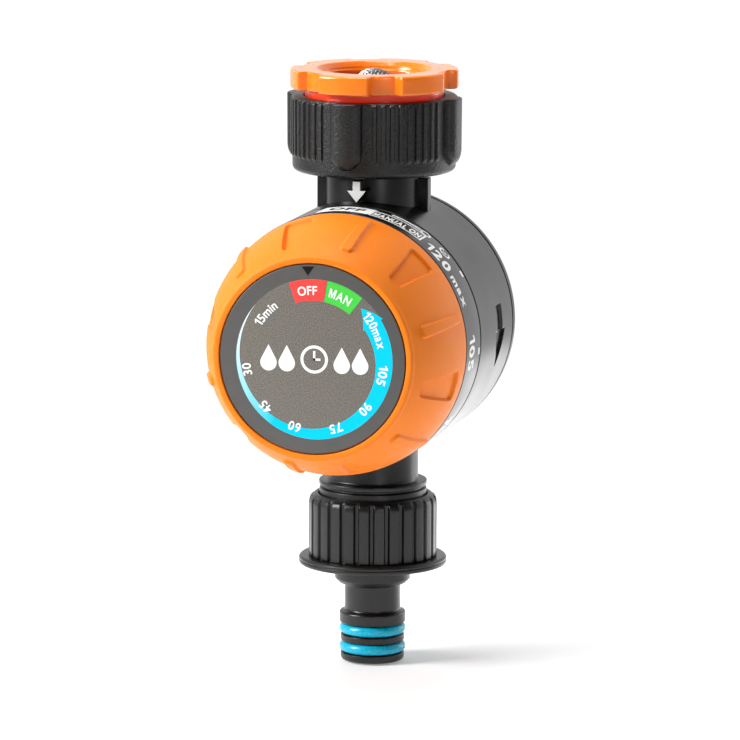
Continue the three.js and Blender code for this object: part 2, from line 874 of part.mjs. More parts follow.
// A wedge on the dome at an angle round the dial, between two shares of the rim-to-lip chord.
function domeWedge(angle, from, to, rimWidth, lipWidth, corner) {
  const slope = Math.atan2(rimRadius - lipRadius, gripDepth);
  const length = Math.hypot(rimRadius - lipRadius, gripDepth);
  const outline = roundedOutline([
    [-rimWidth / 2, from * length],
    [rimWidth / 2, from * length],
    [lipWidth / 2, to * length],
    [-lipWidth / 2, to * length],
  ], corner);
  const height = 8;
  return new THREE.ExtrudeGeometry(outline, { depth: height, bevelEnabled: false, curveSegments: 1 })
    .translate(0, 0, -height / 2)
    .rotateX(slope)
    .rotateX(Math.PI)
    .applyMatrix4(new THREE.Matrix4().makeTranslation(0, gripBack, rimRadius))
    .rotateY(radians(90 - angle));
}

function knobGrip() {
  const coreOffset = -gripThickness;
  const recess = labelRadius + clearance;
  const shell = turnedY([
    [rimRadius + coreOffset, gripBack],
    ...domeProfile(0),
    [lipRadius - 0.5, gripFront + 0.4],
    [lipRadius - 1.1, gripFront],
    [recess, gripFront],
    [recess, labelSeat],
    [lipRadius + coreOffset, labelSeat],
  ], gripSides);
  const bars = [];
  const pockets = [];
  for (let i = 0; i < gripRepeats; i += 1) {
    const turn = i * 360 / gripRepeats;
    bars.push(domeWedge(barAngle + turn, 0.14, 0.9, barRimWidth, barLipWidth, barRimWidth * 0.4));
    pockets.push(domeWedge(pocketAngle + turn, 0.2, 0.9, pocketRimWidth, pocketLipWidth, 1.2));
  }
  const raised = bars.map((bar) => common(cut(bar, domeSolid(-1)), domeSolid(barHeight)));
  const sunk = pockets.map((pocket) => cut(pocket, domeSolid(-pocketDepth)));
  return cut(join(shell, ...raised), ...sunk);
}

function dialCore() {
  const cone = rimRadius - gripThickness - clearance;
  const tip = lipRadius - gripThickness - clearance;
  const inner = drumRadius - dialRingWall;
  const shell = turnedY([
    [0, coreFront],
    [tip, coreFront],
    [cone, ringFront],
    [drumRadius, ringFront],
    [drumRadius, ringBack],
    [inner, ringBack],
    [inner, ringFront + 2.5],
    [cone - 2.4, ringFront - 1.8],
    [tip - coreWall, coreBack],
    [0, coreBack],
  ], gripSides);
  return cut(
    join(shell, rodY(hubRadius, coreFront, frontPlateFront - 1.5, middleSides)),
    rodY(hubShaftRadius + clearance, shaftEnd - clearance, 0, middleSides),
    rodY(screwShank + clearance, coreFront - 1, 0, smallSides),
    rodY(screwHead + clearance, coreFront - 1, coreFront + screwHeadThickness + 0.4, middleSides),
  );
}

function dialArbor() {
  const shoulder = frontPlateFront - clearance;
  const shaft = turnedY([
    [0, shaftEnd],
    [hubShaftRadius, shaftEnd],
    [hubShaftRadius, shoulder],
    [arborRadius, shoulder],
    [arborRadius, arborBack],
    [0, arborBack],
  ], middleSides);
  const screwHole = rodY(screwShank + clearance, shaftEnd - 1, shaftEnd + knobScrewLength, smallSides);
  return cut(shaft, screwHole);
}

// A disc whose track on the valve side is level except for one notch.
function valveCam() {
  const inner = valveOffset - camTrackWidth / 2;
  const outer = valveOffset + camTrackWidth / 2;
  const notch = new THREE.Shape([
    new THREE.Vector2(0, 0),
    polarPoint(2 * outer, -90 - camNotch / 2),
    polarPoint(2 * outer, -90 + camNotch / 2),
  ]);
  const track = cut(
    tubeY(inner, outer, camBack - 0.5, camFace),
    raisedY(notch, camBack, camFace + 1),
  );
  return cut(
    join(rodY(outer + 0.8, camFront, camBack), track),
    rodY(arborRadius + clearance, camFront - 1, camFace + 1, middleSides),
  );
}

function mainWheel() {
  const front = layerFront(0);
  const teeth = gearOutline(mainTeeth, mainModule, secondAngle);
  const wheel = raisedY(teeth, front, front + wheelThickness);
  const hub = rodY(arborRadius + 1.6, front - 0.6, front + wheelThickness, middleSides);
  return cut(join(wheel, hub), rodY(arborRadius + clearance, front - 2, front + 4, middleSides));
}

add('dial_core', dialCore(), 'blackPlastic');
add('knob_grip', knobGrip(), 'orangeRubber');
add('dial_label', rodY(labelRadius, gripFront, labelBack), 'greyLabel');
const knobScrew = add('knob_screw', screw(knobScrewLength), 'steel',
  [0, coreFront + screwHeadThickness + 0.3, 0]);
knobScrew.rotation.x = Math.PI;
add('dial_arbor', dialArbor(), 'brass');
add('valve_cam', valveCam(), 'whitePlastic');
add('main_wheel', mainWheel(), 'brass');

// ---------------------------------------------------------------- clockwork

const trainAngles = [secondAngle, thirdAngle, escapeAngle, balanceAngle];
const shaftLow = frontPlateFront + 0.2;
const shaftHigh = rearPlateBack - 0.2;

function frameHoles() {
  const front = frontPlateFront - 1;
  const back = rearPlateBack + 1;
  const bearing = wheelShaftRadius + clearance;
  return [
    rodY(arborRadius + clearance, front, back, middleSides),
    ...trainAngles.map((angle) => rodY(bearing, front, back, smallSides)
      .translate(...aroundDial(trainCircle, angle))),
    ...pillarAngles.map((angle) => rodY(screwShank + clearance, front, back, smallSides)
      .translate(...aroundDial(pillarCircle, angle))),
  ];
}

function framePlate(front, back) {
  return cut(rodY(plateRadius, front, back), ...frameHoles());
}

// A wheel and pinion on one shaft, turned round the shaft's own axis.
function trainWheel(pinion, pinionLayer, wheel, wheelLayer) {
  const pinionFront = layerFront(pinionLayer) - 0.4;
  const wheelFront = layerFront(wheelLayer);
  return join(
    rodY(wheelShaftRadius, shaftLow, shaftHigh, smallSides),
    raisedY(pinion, pinionFront, firstLayer - pinionLayer * layerPitch + 0.2),
    raisedY(wheel, wheelFront, wheelFront + wheelThickness),
  );
}

// Pointed teeth that lean to one side.
function escapeOutline(phase) {
  return repeatedOutline(escapeTeeth, phase, [
    [-7, escapeRadius * 0.74],
    [3, escapeRadius * 0.78],
    [6, escapeRadius],
    [7.5, escapeRadius * 0.98],
  ]);
}

function secondWheel() {
  const inwards = secondAngle + 180;
  const onwards = directionOnwards(secondAngle, trainStep);
  return trainWheel(
    gearOutline(mainPinionTeeth, mainModule, gapAt(inwards, mainPinionTeeth)),
    0,
    gearOutline(trainTeeth, trainModule, onwards),
    1,
  );
}

function thirdWheel() {
  const backwards = directionOnwards(secondAngle, trainStep) + 180;
  const onwards = directionOnwards(thirdAngle, trainStep);
  return trainWheel(
    gearOutline(trainPinionTeeth, trainModule, gapAt(backwards, trainPinionTeeth)),
    1,
    gearOutline(trainTeeth, trainModule, onwards),
    2,
  );
}

function escapeWheel() {
  const backwards = directionOnwards(thirdAngle, trainStep) + 180;
  return trainWheel(
    gearOutline(trainPinionTeeth, trainModule, gapAt(backwards, trainPinionTeeth)),
    2,
    escapeOutline(0),
    3,
  );
}

// A rocking lever with two pallets that face the escape wheel, weighted at the far end.
function balance() {
  const towards = directionOnwards(escapeAngle, balanceStep) + 180;
  const front = layerFront(3);
  const lever = roundedOutline([
    [-4.6, -1.1],
    [3.4, -3.2],
    [3.4, 3.2],
    [-4.6, 1.1],
  ], 0.8);
  return join(
    rodY(wheelShaftRadius, shaftLow, shaftHigh, smallSides),
    raisedY(lever, front, front + wheelThickness).rotateY(radians(-towards)),
  );
}

function spiralOutline() {
  const outer = [];
  const inner = [];
  const steps = Math.round(springTurns * 16);
  for (let i = 0; i <= steps; i += 1) {
    const radius = springInner + (springOuter - springInner) * i / steps;
    const degrees = i / steps * springTurns * 360;
    inner.push(polarPoint(radius, degrees));
    outer.push(polarPoint(radius + springThickness, degrees));
  }
  return new THREE.Shape([...outer, ...inner.reverse()]);
}

function pillar() {
  return tubeY(
    screwShank + clearance,
    pillarRadius,
    frontPlateBack + 0.1,
    rearPlateFront - 0.1,
    smallSides,
  );
}

add('rear_frame_plate', framePlate(rearPlateFront, rearPlateBack), 'brass');
add('front_frame_plate', framePlate(frontPlateFront, frontPlateBack), 'brass');
pillarAngles.forEach((angle, i) => {
  const place = aroundDial(pillarCircle, angle);
  add(`frame_pillar_${i + 1}`, pillar(), 'brass', place);
  const length = -partitionFront - frameScrewDepth - frontPlateFront;
  const fixing = add(`frame_screw_${i + 1}`, screw(length), 'steel',
    [place[0], frontPlateFront - 0.1, place[2]]);
  fixing.rotation.x = Math.PI;
});
add('second_wheel', secondWheel(), 'brass', aroundDial(trainCircle, secondAngle));
add('third_wheel', thirdWheel(), 'brass', aroundDial(trainCircle, thirdAngle));
add('escape_wheel', escapeWheel(), 'brass', aroundDial(trainCircle, escapeAngle));
add('balance', balance(), 'steel', aroundDial(trainCircle, balanceAngle));
add('mainspring', raisedY(spiralOutline(), springFront, springFront + springHeight), 'steel');
const springPostCircle = springOuter + springThickness + clearance + springPostRadius;
const springPost = rodY(springPostRadius, frontPlateBack + 0.1, springFront + springHeight, smallSides);
add('spring_post', springPost, 'steel', aroundDial(springPostCircle, springTurns * 360));

// ---------------------------------------------------------------- valve

function valveStem() {
  const flange = seatReach + clearance + sealDisc + clearance;
  return turnedY([
    [0, -stemHeadReach],
    [stemHeadRadius, -stemHeadReach],
    [stemHeadRadius, -stemHeadReach + stemHeadThickness],
    [stemRadius, -stemHeadReach + stemHeadThickness],
    [stemRadius, flange],
    [sealRadius - 0.6, flange],
    [sealRadius - 0.6, flange + 1],
    [0, flange + 1],
  ], middleSides);
}

class Helix extends THREE.Curve {
  constructor(radius, turns, length) {
    super();
    Object.assign(this, { radius, turns, length });
  }

  getPoint(t) {
    const angle = t * this.turns * 2 * Math.PI;
    return new THREE.Vector3(this.radius * Math.cos(angle), t * this.length, this.radius * Math.sin(angle));
  }
}

function valveSpring(length) {
  const wire = new THREE.Shape();
  wire.absarc(0, 0, valveSpringWire, 0, 2 * Math.PI);
  return new THREE.ExtrudeGeometry(wire, {
    steps: valveSpringTurns * 12,
    curveSegments: 3,
    bevelEnabled: false,
    extrudePath: new Helix(sealRadius - 1.6, valveSpringTurns, length),
  });
}

const valveAxis = [0, 0, -valveOffset];
const valveSpringBack = coverFront - clearance - valveSpringWire;
const valveSpringFront = seatReach + 2 * clearance + sealDisc + 1 + clearance + valveSpringWire;
add('valve_stem', valveStem(), 'steel', valveAxis);
add('valve_seal', tubeY(
  stemRadius + clearance,
  sealRadius,
  seatReach + clearance,
  seatReach + clearance + sealDisc,
  middleSides,
), 'blackRubber', valveAxis);
add('valve_spring', valveSpring(valveSpringBack - valveSpringFront), 'steel',
  [0, valveSpringFront, -valveOffset]);
const stemSeal = turnedY(rubberRing(stemRadius + clearance + glandSection, glandSection), smallSides);
const stemSealLevel = -partitionFront + glandPocketDepth - clearance - glandSection;
add('stem_seal', stemSeal, 'blackRubber', [0, stemSealLevel, -valveOffset]);
add('stem_gland', tubeY(
  stemRadius + clearance,
  glandRadius - 0.2,
  -partitionFront,
  -partitionFront + glandThickness,
  smallSides,
), 'brass', valveAxis);

export default timer;
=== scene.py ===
import json
import math

import bmesh
import bpy
import numpy as np
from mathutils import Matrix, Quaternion, Vector


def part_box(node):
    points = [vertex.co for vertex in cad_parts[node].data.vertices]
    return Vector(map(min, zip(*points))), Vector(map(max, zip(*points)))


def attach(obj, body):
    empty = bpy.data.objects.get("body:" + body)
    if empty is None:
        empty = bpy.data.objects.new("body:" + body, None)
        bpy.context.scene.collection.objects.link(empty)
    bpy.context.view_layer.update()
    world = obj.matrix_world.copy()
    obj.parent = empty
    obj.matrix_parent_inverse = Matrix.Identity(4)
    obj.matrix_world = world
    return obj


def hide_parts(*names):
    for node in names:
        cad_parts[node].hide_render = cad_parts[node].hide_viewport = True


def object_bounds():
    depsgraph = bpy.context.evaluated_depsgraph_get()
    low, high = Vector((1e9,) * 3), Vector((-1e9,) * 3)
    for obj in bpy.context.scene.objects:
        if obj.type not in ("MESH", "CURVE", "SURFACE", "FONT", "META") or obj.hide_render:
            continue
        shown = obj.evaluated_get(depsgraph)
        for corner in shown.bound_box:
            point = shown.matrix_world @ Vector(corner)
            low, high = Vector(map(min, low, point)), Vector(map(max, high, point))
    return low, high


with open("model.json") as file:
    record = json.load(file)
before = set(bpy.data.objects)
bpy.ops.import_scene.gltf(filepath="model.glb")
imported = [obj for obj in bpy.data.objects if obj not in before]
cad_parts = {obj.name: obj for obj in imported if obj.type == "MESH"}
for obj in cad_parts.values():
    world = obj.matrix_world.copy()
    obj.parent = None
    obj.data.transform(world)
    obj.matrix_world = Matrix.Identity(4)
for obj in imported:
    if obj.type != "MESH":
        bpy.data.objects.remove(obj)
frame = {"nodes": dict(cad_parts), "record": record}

CAD_BOX = [list(corner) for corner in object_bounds()]
SCENE = bpy.context.scene
MM = 0.001

# ---------- camera

CAMERA_AZIMUTH = math.radians(15.0)
CAMERA_ELEVATION = math.radians(9.5)
CAMERA_DISTANCE = 1.5
CAMERA_TARGET = Vector((-0.00084, 0.0, -0.07305))
CAMERA_LENS = 304.0
CAMERA_ROLL = math.radians(0.2)


def add_camera():
    """A long lens on the dial side, a little to the right and above."""
    away = Vector((
        math.cos(CAMERA_ELEVATION) * math.sin(CAMERA_AZIMUTH),
        -math.cos(CAMERA_ELEVATION) * math.cos(CAMERA_AZIMUTH),
        math.sin(CAMERA_ELEVATION),
    ))
    camera = bpy.data.objects.new("camera", bpy.data.cameras.new("camera"))
    camera.data.lens = CAMERA_LENS
    camera.data.sensor_width = 36.0
    camera.data.clip_end = 20.0
    camera.location = CAMERA_TARGET + away * CAMERA_DISTANCE
    aim = (-away).to_track_quat("-Z", "Y")
    camera.rotation_euler = (aim @ Quaternion((0, 0, 1), CAMERA_ROLL)).to_euler()
    SCENE.collection.objects.link(camera)
    SCENE.camera = camera


add_camera()

# ---------- sizes from the frame, mm


def box_mm(node):
    low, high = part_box(node)
    return np.array(low) / MM, np.array(high) / MM


def radius_mm(node, axis):
    low, high = box_mm(node)
    return (high[axis] - low[axis]) / 2


cover_low, cover_high = box_mm("back_cover")
housing_low, housing_high = box_mm("main_housing")
core_low, core_high = box_mm("dial_core")
grip_low, grip_high = box_mm("knob_grip")
label_low, label_high = box_mm("dial_label")
nut_low, nut_high = box_mm("inlet_nut")
adaptor_low, adaptor_high = box_mm("tap_adaptor")
connector_low, connector_high = box_mm("outlet_connector")

DRUM_RADIUS = (cover_high[0] - cover_low[0]) / 2
DRUM_Z = (cover_high[2] + cover_low[2]) / 2
HOUSING_FRONT = housing_low[1]
HOUSING_BACK = housing_high[1]
COVER_FRONT = cover_low[1]
COVER_BACK = cover_high[1]
RING_BACK = core_high[1]
GRIP_BACK = grip_high[1]
GRIP_FRONT = grip_low[1]
CLEARANCE = 0.3
RING_FRONT = GRIP_BACK + CLEARANCE
LABEL_RADIUS = radius_mm("dial_label", 0)
LABEL_FRONT = label_low[1] + 0.12  # the ink on it stays inside the box
LABEL_BACK = label_high[1]
TUBE_TOP = housing_high[2]
OUTLET_END = housing_low[2]
NUT_BASE = nut_low[2]
NUT_TOP = nut_high[2]
SPIGOT_END = connector_low[2]
CONNECTOR_TOP = connector_high[2]
INLET_TOP = adaptor_high[2]

# ---------- mesh helpers


SMOOTH_ANGLE = 38.0


def smooth(mesh, smooth_angle=SMOOTH_ANGLE):
    for polygon in mesh.polygons:
        polygon.use_smooth = True
    mesh.set_sharp_from_angle(angle=math.radians(smooth_angle))


def to_object(name, mesh, smooth_angle=SMOOTH_ANGLE):
    mesh.name = name
    smooth(mesh, smooth_angle)
    piece = bpy.data.objects.new(name, mesh)
    SCENE.collection.objects.link(piece)
    return piece


def mesh_of(work, name="mesh"):
    """The mesh of a bmesh, which it frees."""
    mesh = bpy.data.meshes.new(name)
    work.to_mesh(mesh)
    work.free()
    return mesh


def mesh_from(points, faces, weld=0.0):
    """A mesh in metres from points in millimetres; weld merges points closer than that."""
    mesh = bpy.data.meshes.new("mesh")
    mesh.from_pydata((np.asarray(points, float) * MM).tolist(), [], faces)
    work = bmesh.new()
    work.from_mesh(mesh)
    if weld:
        bmesh.ops.remove_doubles(work, verts=work.verts, dist=weld * MM)
    bmesh.ops.recalc_face_normals(work, faces=work.faces)
    return mesh_of(work)


def grid_faces(rows, columns, close_rows):
    row_count = rows if close_rows else rows - 1
    i, j = np.meshgrid(np.arange(row_count), np.arange(columns), indexing="ij")
    i_next, j_next = (i + 1) % rows, (j + 1) % columns
    corners = [i * columns + j, i * columns + j_next, i_next * columns + j_next, i_next * columns + j]
    return np.stack([corner.ravel() for corner in corners], axis=1).tolist()


def arc_corner(before, corner, after, radius, steps):
    """Points that round a corner of a profile with a tangent arc."""
    to_before = (before - corner) / np.linalg.norm(before - corner)
    to_after = (after - corner) / np.linalg.norm(after - corner)
    half = math.acos(np.clip(np.dot(to_before, to_after), -1, 1)) / 2
    if half > math.radians(88):
        return [corner]
    reach = radius / math.tan(half)
    centre = corner + (to_before + to_after) / np.linalg.norm(to_before + to_after) * radius / math.sin(half)
    start, end = corner + to_before * reach - centre, corner + to_after * reach - centre
    turn = math.atan2(start[0] * end[1] - start[1] * end[0], np.dot(start, end))
    angles = [turn * k / steps for k in range(steps + 1)]
    return [centre + rotated(start, angle) for angle in angles]


def rotated(vector, angle):
    c, s = math.cos(angle), math.sin(angle)
    return np.array([c * vector[0] - s * vector[1], s * vector[0] + c * vector[1]])


def rounded_profile(corners, closed=True, steps=5):
    """A profile from (radius, height, fillet) corners; an open one keeps its two ends sharp."""
    spots = [np.array(corner[:2], float) for corner in corners]
    points = []
    for k, corner in enumerate(corners):
        fillet = corner[2] if len(corner) > 2 else 0
        is_end = not closed and k in (0, len(corners) - 1)
        if fillet and not is_end:
            points += arc_corner(spots[k - 1], spots[k], spots[(k + 1) % len(spots)], fillet, steps)
        else:
            points.append(spots[k])
    return np.array(points)


def dense(profile, step, closed=True):
    """The profile with its long stretches divided into steps no longer than the one given."""
    ends = np.roll(profile, -1, axis=0) if closed else profile[1:]
    starts = profile if closed else profile[:-1]
    points = []
    for start, end in zip(starts, ends):
        count = max(1, math.ceil(np.linalg.norm(end - start) / step))
        points += [start + (end - start) * k / count for k in range(count)]
    if not closed:
        points.append(profile[-1])
    return np.array(points)


def around(columns):
    return np.arange(columns) * 2 * math.pi / columns


def spin(profile, columns, radius_change):
    """The two coordinates round an axis and the one along it, of a solid of revolution."""
    angle = around(columns)[None, :]
    radius, height = profile[:, :1], profile[:, 1:2]
    if radius_change is not None:
        radius = radius + radius_change(radius, height, angle)
    radius, height = np.broadcast_arrays(radius, height + 0 * angle)
    return radius * np.cos(angle), radius * np.sin(angle), height


def spin_z(profile, columns, radius_change=None):
    """A solid of revolution about the pipe axis, with the radius changed by a function."""
    return np.stack(spin(profile, columns, radius_change), axis=-1)


def spin_y(profile, columns, centre_x=0.0, centre_z=DRUM_Z, radius_change=None):
    """The same about an axis along Y, with the angle counted from +X towards +Z."""
    across, up, depth = spin(profile, columns, radius_change)
    return np.stack([centre_x + across, depth, centre_z + up], axis=-1)


def grid_piece(name, points, closed=True, smooth_angle=SMOOTH_ANGLE):
    rows, columns = points.shape[:2]
    faces = grid_faces(rows, columns, closed)
    return to_object(name, mesh_from(points.reshape(-1, 3), faces, weld=1e-4), smooth_angle)


def smoothstep(low, high, value):
    t = np.clip((value - low) / (high - low), 0, 1)
    return t * t * (3 - 2 * t)


def nearest_of(angle, count, first):
    """The signed distance in degrees to the nearest of several evenly spaced angles."""
    pitch = 360 / count
    return (np.degrees(angle) - first + pitch / 2) % pitch - pitch / 2


def cut_out(piece, tool):
    """Cuts a tool's shape out of a piece and removes the tool."""
    modifier = piece.modifiers.new("cut", "BOOLEAN")
    modifier.object = tool
    modifier.operation = "DIFFERENCE"
    modifier.solver = "EXACT"
    depsgraph = bpy.context.evaluated_depsgraph_get()
    result = bpy.data.meshes.new_from_object(piece.evaluated_get(depsgraph))
    piece.modifiers.clear()
    piece.data = result
    bpy.data.objects.remove(tool)
    smooth(result)


def finish_piece(piece, body, material, replaced=()):
    piece.data.materials.clear()
    piece.data.materials.append(material)
    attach(piece, body)
    if replaced:
        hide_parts(*replaced)
    return piece


# ---------- materials


def linear(*srgb):
    """A colour's linear values from its 0 to 255 screen values."""
    channels = [value / 255 for value in srgb]
    return tuple(c / 12.92 if c <= 0.04045 else ((c + 0.055) / 1.055) ** 2.4 for c in channels) + (1.0,)


def map_range(tree, value, start, end, low=0.0, high=1.0):
    """A node that maps start..end onto low..high, clamped."""
    node = tree.nodes.new("ShaderNodeMapRange")
    for socket, setting in (("From Min", start), ("From Max", end), ("To Min", low), ("To Max", high)):
        node.inputs[socket].default_value = setting
    tree.links.new(value, node.inputs["Value"])
    return node


class Shader:
    """A Principled material with short calls for the nodes that vary it over the surface."""

    def __init__(self, name, color, roughness, **sockets):
        self.material = bpy.data.materials.new(name)
        self.material.use_nodes = True
        self.tree = self.material.node_tree
        self.bsdf = self.tree.nodes["Principled BSDF"]
        self.bsdf.inputs["Base Color"].default_value = color
        self.bsdf.inputs["Roughness"].default_value = roughness
        for socket, value in sockets.items():
            self.bsdf.inputs[socket.replace("_", " ")].default_value = value
        self.place = self.tree.nodes.new("ShaderNodeTexCoord").outputs["Object"]

    def noise(self, size_mm, detail=3.0, stretch=(1, 1, 1)):
        """Noise whose features are about size_mm across."""
        mapping = self.tree.nodes.new("ShaderNodeMapping")
        mapping.inputs["Scale"].default_value = stretch
        self.tree.links.new(self.place, mapping.inputs["Vector"])
        noise = self.tree.nodes.new("ShaderNodeTexNoise")
        noise.inputs["Scale"].default_value = 1 / (size_mm * MM)
        noise.inputs["Detail"].default_value = detail
        self.tree.links.new(mapping.outputs["Vector"], noise.inputs["Vector"])
        return noise.outputs["Fac"]

    def ramp(self, value, low, high):
        """Noise spread over low..high; its own values keep mostly between 0.3 and 0.7."""
        return map_range(self.tree, value, 0.3, 0.7, low, high).outputs["Result"]

    def mix(self, factor, first, second):
        node = self.tree.nodes.new("ShaderNodeMix")
        node.data_type = "RGBA"
        for socket, value in (("Factor", factor), ("A", first), ("B", second)):
            kind = "VALUE" if socket == "Factor" else "RGBA"
            target = next(s for s in node.inputs if s.name == socket and s.type == kind)
            if isinstance(value, bpy.types.NodeSocket):
                self.tree.links.new(value, target)
            else:
                target.default_value = value
        return next(s for s in node.outputs if s.type == "RGBA")

    def vary_color(self, factor, first, second):
        self.tree.links.new(self.mix(factor, first, second), self.bsdf.inputs["Base Color"])

    def vary_roughness(self, value):
        self.tree.links.new(value, self.bsdf.inputs["Roughness"])

    def bump(self, height, distance_mm, strength=1.0):
        node = self.tree.nodes.new("ShaderNodeBump")
        node.inputs["Distance"].default_value = distance_mm * MM
        node.inputs["Strength"].default_value = strength
        self.tree.links.new(height, node.inputs["Height"])
        if self.bsdf.inputs["Normal"].is_linked:
            before = self.bsdf.inputs["Normal"].links[0].from_socket
            self.tree.links.new(before, node.inputs["Normal"])
        self.tree.links.new(node.outputs["Normal"], self.bsdf.inputs["Normal"])

    def weather(self, tone, colors, wear, roughness, grain, depth_mm):
        """Noise over colour, roughness and height; tone, wear and grain are what noise takes."""
        self.vary_color(self.noise(*tone), *colors)
        self.vary_roughness(self.ramp(self.noise(*wear), *roughness))
        self.bump(self.noise(*grain), depth_mm)

    def math(self, operation, first, second=None):
        node = self.tree.nodes.new("ShaderNodeMath")
        node.operation = operation
        for k, value in enumerate((first, second)):
            if isinstance(value, bpy.types.NodeSocket):
                self.tree.links.new(value, node.inputs[k])
            elif value is not None:
                node.inputs[k].default_value = value
        return node.outputs[0]

    def split_place(self):
        """The X, Y and Z outputs of a point on the surface."""
        split = self.tree.nodes.new("ShaderNodeSeparateXYZ")
        self.tree.links.new(self.place, split.inputs[0])
        return split

    def dial_coordinates(self, centre_x_mm=0.0):
        """X and Z measured from the dial axis, in metres."""
        split = self.split_place()
        across = self.math("SUBTRACT", split.outputs["X"], centre_x_mm * MM)
        up = self.math("SUBTRACT", split.outputs["Z"], DRUM_Z * MM)
        return across, up


def black_plastic(name, grain_mm, grain_depth_mm, roughness):
    """Moulded black ABS: fine spark-eroded grain and soft sheen patches."""
    shader = Shader(name, linear(13, 13, 13), roughness)
    shader.weather((7.0, 4.0), (linear(10, 10, 10), linear(17, 17, 16)), (14.0, 1.0),
                   (roughness - 0.03, roughness + 0.04), (grain_mm, 2.0), grain_depth_mm)
    return shader.material


def orange_rubber():
    shader = Shader("orange_rubber", linear(240, 126, 16), 0.5, Specular_IOR_Level=0.25,
                    Subsurface_Weight=0.06, Subsurface_Scale=0.002, Subsurface_Radius=(1.0, 0.4, 0.1))
    shader.weather((9.0, 4.0), (linear(237, 120, 10), linear(243, 131, 20)), (1.6, 5.0), (0.44, 0.56),
                   (0.3, 2.0), 0.02)
    shader.bump(shader.noise(5.0, 2.0), 0.04)
    return shader.material


# Below this depth the orange plastic gets a painted deeper red and a painted glow.
PAINTED_GLOW_DEPTH = 4.7  # of the collar, below the inlet's top


def orange_plastic():
    """Clear bright orange; under the collar the bushing gets a painted deeper red and a painted glow,
    standing in for light shining through the plastic into the shade there.
    """
    shader = Shader("orange_plastic", linear(252, 128, 14), 0.2, Coat_Weight=0.4, Coat_Roughness=0.1,
                    Subsurface_Weight=0.3, Subsurface_Scale=0.003, Subsurface_Radius=(1.0, 0.3, 0.05),
                    Emission_Color=linear(240, 50, 20))
    split = shader.split_place()
    # Painted light: below the collar the colour turns deeper red and glows, in place of light shining through
    # the plastic into the shade.
    low = shader.math("LESS_THAN", split.outputs["Z"], (INLET_TOP - PAINTED_GLOW_DEPTH) * MM)
    bright = shader.mix(shader.noise(6.0, 3.0), linear(250, 122, 8), linear(255, 134, 18))
    shader.vary_color(low, bright, linear(240, 58, 14))
    shader.tree.links.new(shader.math("MULTIPLY", low, 0.18), shader.bsdf.inputs["Emission Strength"])
    shader.vary_roughness(shader.ramp(shader.noise(1.5, 4.0), 0.16, 0.26))
    shader.bump(shader.noise(3.0, 3.0), 0.02)
    return shader.material


PRINT_SHIFT = 0.5
DISC_RADIUS = 18.85


def label_material():
    """A dark outer band round a speckled warm-grey disc."""
    shader = Shader("label_print", linear(80, 79, 77), 0.42)
    across, up = shader.dial_coordinates(PRINT_SHIFT)
    square = shader.math("ADD", shader.math("MULTIPLY", across, across), shader.math("MULTIPLY", up, up))
    radius = shader.math("SQRT", square)
    outside = shader.math("GREATER_THAN", radius, DISC_RADIUS * MM)
    fine = shader.ramp(shader.noise(0.28, 1.0), 0.0, 1.0)
    speckled = shader.mix(fine, linear(84, 80, 74), linear(128, 123, 114))
    plain = shader.mix(shader.noise(4.0, 3.0), linear(76, 75, 73), linear(85, 84, 82))
    shader.vary_color(outside, speckled, plain)
    shader.vary_roughness(shader.ramp(shader.noise(1.0, 4.0), 0.36, 0.5))
    shader.bump(shader.noise(0.3, 1.0), 0.008)
    return shader.material


def ink(name, color, roughness=0.45):
    shader = Shader(name, color, roughness, Specular_IOR_Level=0.2)
    lighter = tuple(min(1.0, channel * 1.08) for channel in color[:3]) + (1.0,)
    shader.weather((0.8, 3.0), (color, lighter), (0.6, 3.0), (roughness - 0.05, roughness + 0.1),
                   (0.25, 1.0), 0.004)
    return shader.material


def fading_ink():
    """Cyan that fades to white towards the thin end of the time arrow."""
    shader = Shader("cyan_ink", linear(0, 200, 240), 0.42, Specular_IOR_Level=0.1)
    across, up = shader.dial_coordinates(PRINT_SHIFT)
    angle = shader.math("ARCTAN2", up, shader.math("MULTIPLY", across, -1.0))
    height = map_range(shader.tree, angle, -1.0, 0.5).outputs["Result"]
    share = shader.math("MULTIPLY", height, shader.math("LESS_THAN", across, 0.0))
    shader.vary_color(share, linear(0, 200, 240), linear(232, 246, 250))
    shader.vary_roughness(shader.ramp(shader.noise(0.6, 3.0), 0.38, 0.5))
    shader.bump(shader.noise(0.25, 1.0), 0.004)
    return shader.material


def rubber(name, color, roughness):
    shader = Shader(name, color, roughness)
    darker = tuple(channel * 0.85 for channel in color[:3]) + (1.0,)
    shader.weather((2.5, 4.0), (darker, color), (0.9, 4.0), (roughness - 0.08, roughness + 0.1),
                   (0.4, 3.0), 0.01)
    return shader.material


def metal(name, color, roughness, stretch):
    shader = Shader(name, color, roughness, Metallic=1.0)
    darker = tuple(channel * 0.8 for channel in color[:3]) + (1.0,)
    shader.weather((3.0, 4.0), (darker, color), (0.5, 4.0, stretch), (roughness - 0.08, roughness + 0.12),
                   (0.3, 3.0, stretch), 0.006)
    return shader.material


BLACK_SMOOTH = black_plastic("black_abs_smooth", 9.0, 0.01, 0.3)
BLACK_GRAINED = black_plastic("black_abs_grained", 0.5, 0.16, 0.36)
BLACK_MATT = black_plastic("black_abs_matt", 0.5, 0.03, 0.32)
ORANGE_RUBBER = orange_rubber()
ORANGE_PLASTIC = orange_plastic()
LABEL = label_material()
WHITE_INK = ink("white_ink", linear(238, 238, 236))
RED_INK = ink("red_ink", linear(244, 70, 66))
GREEN_INK = ink("green_ink", linear(70, 200, 70))
BLACK_INK = ink("black_ink", linear(22, 22, 23), 0.3)
CYAN_INK = fading_ink()
BLUE_RUBBER = rubber("blue_rubber", linear(0, 178, 212), 0.26)
BLACK_RUBBER = rubber("black_rubber", linear(26, 26, 26), 0.7)
STEEL = metal("stainless", linear(196, 198, 200), 0.3, (1, 1, 1))
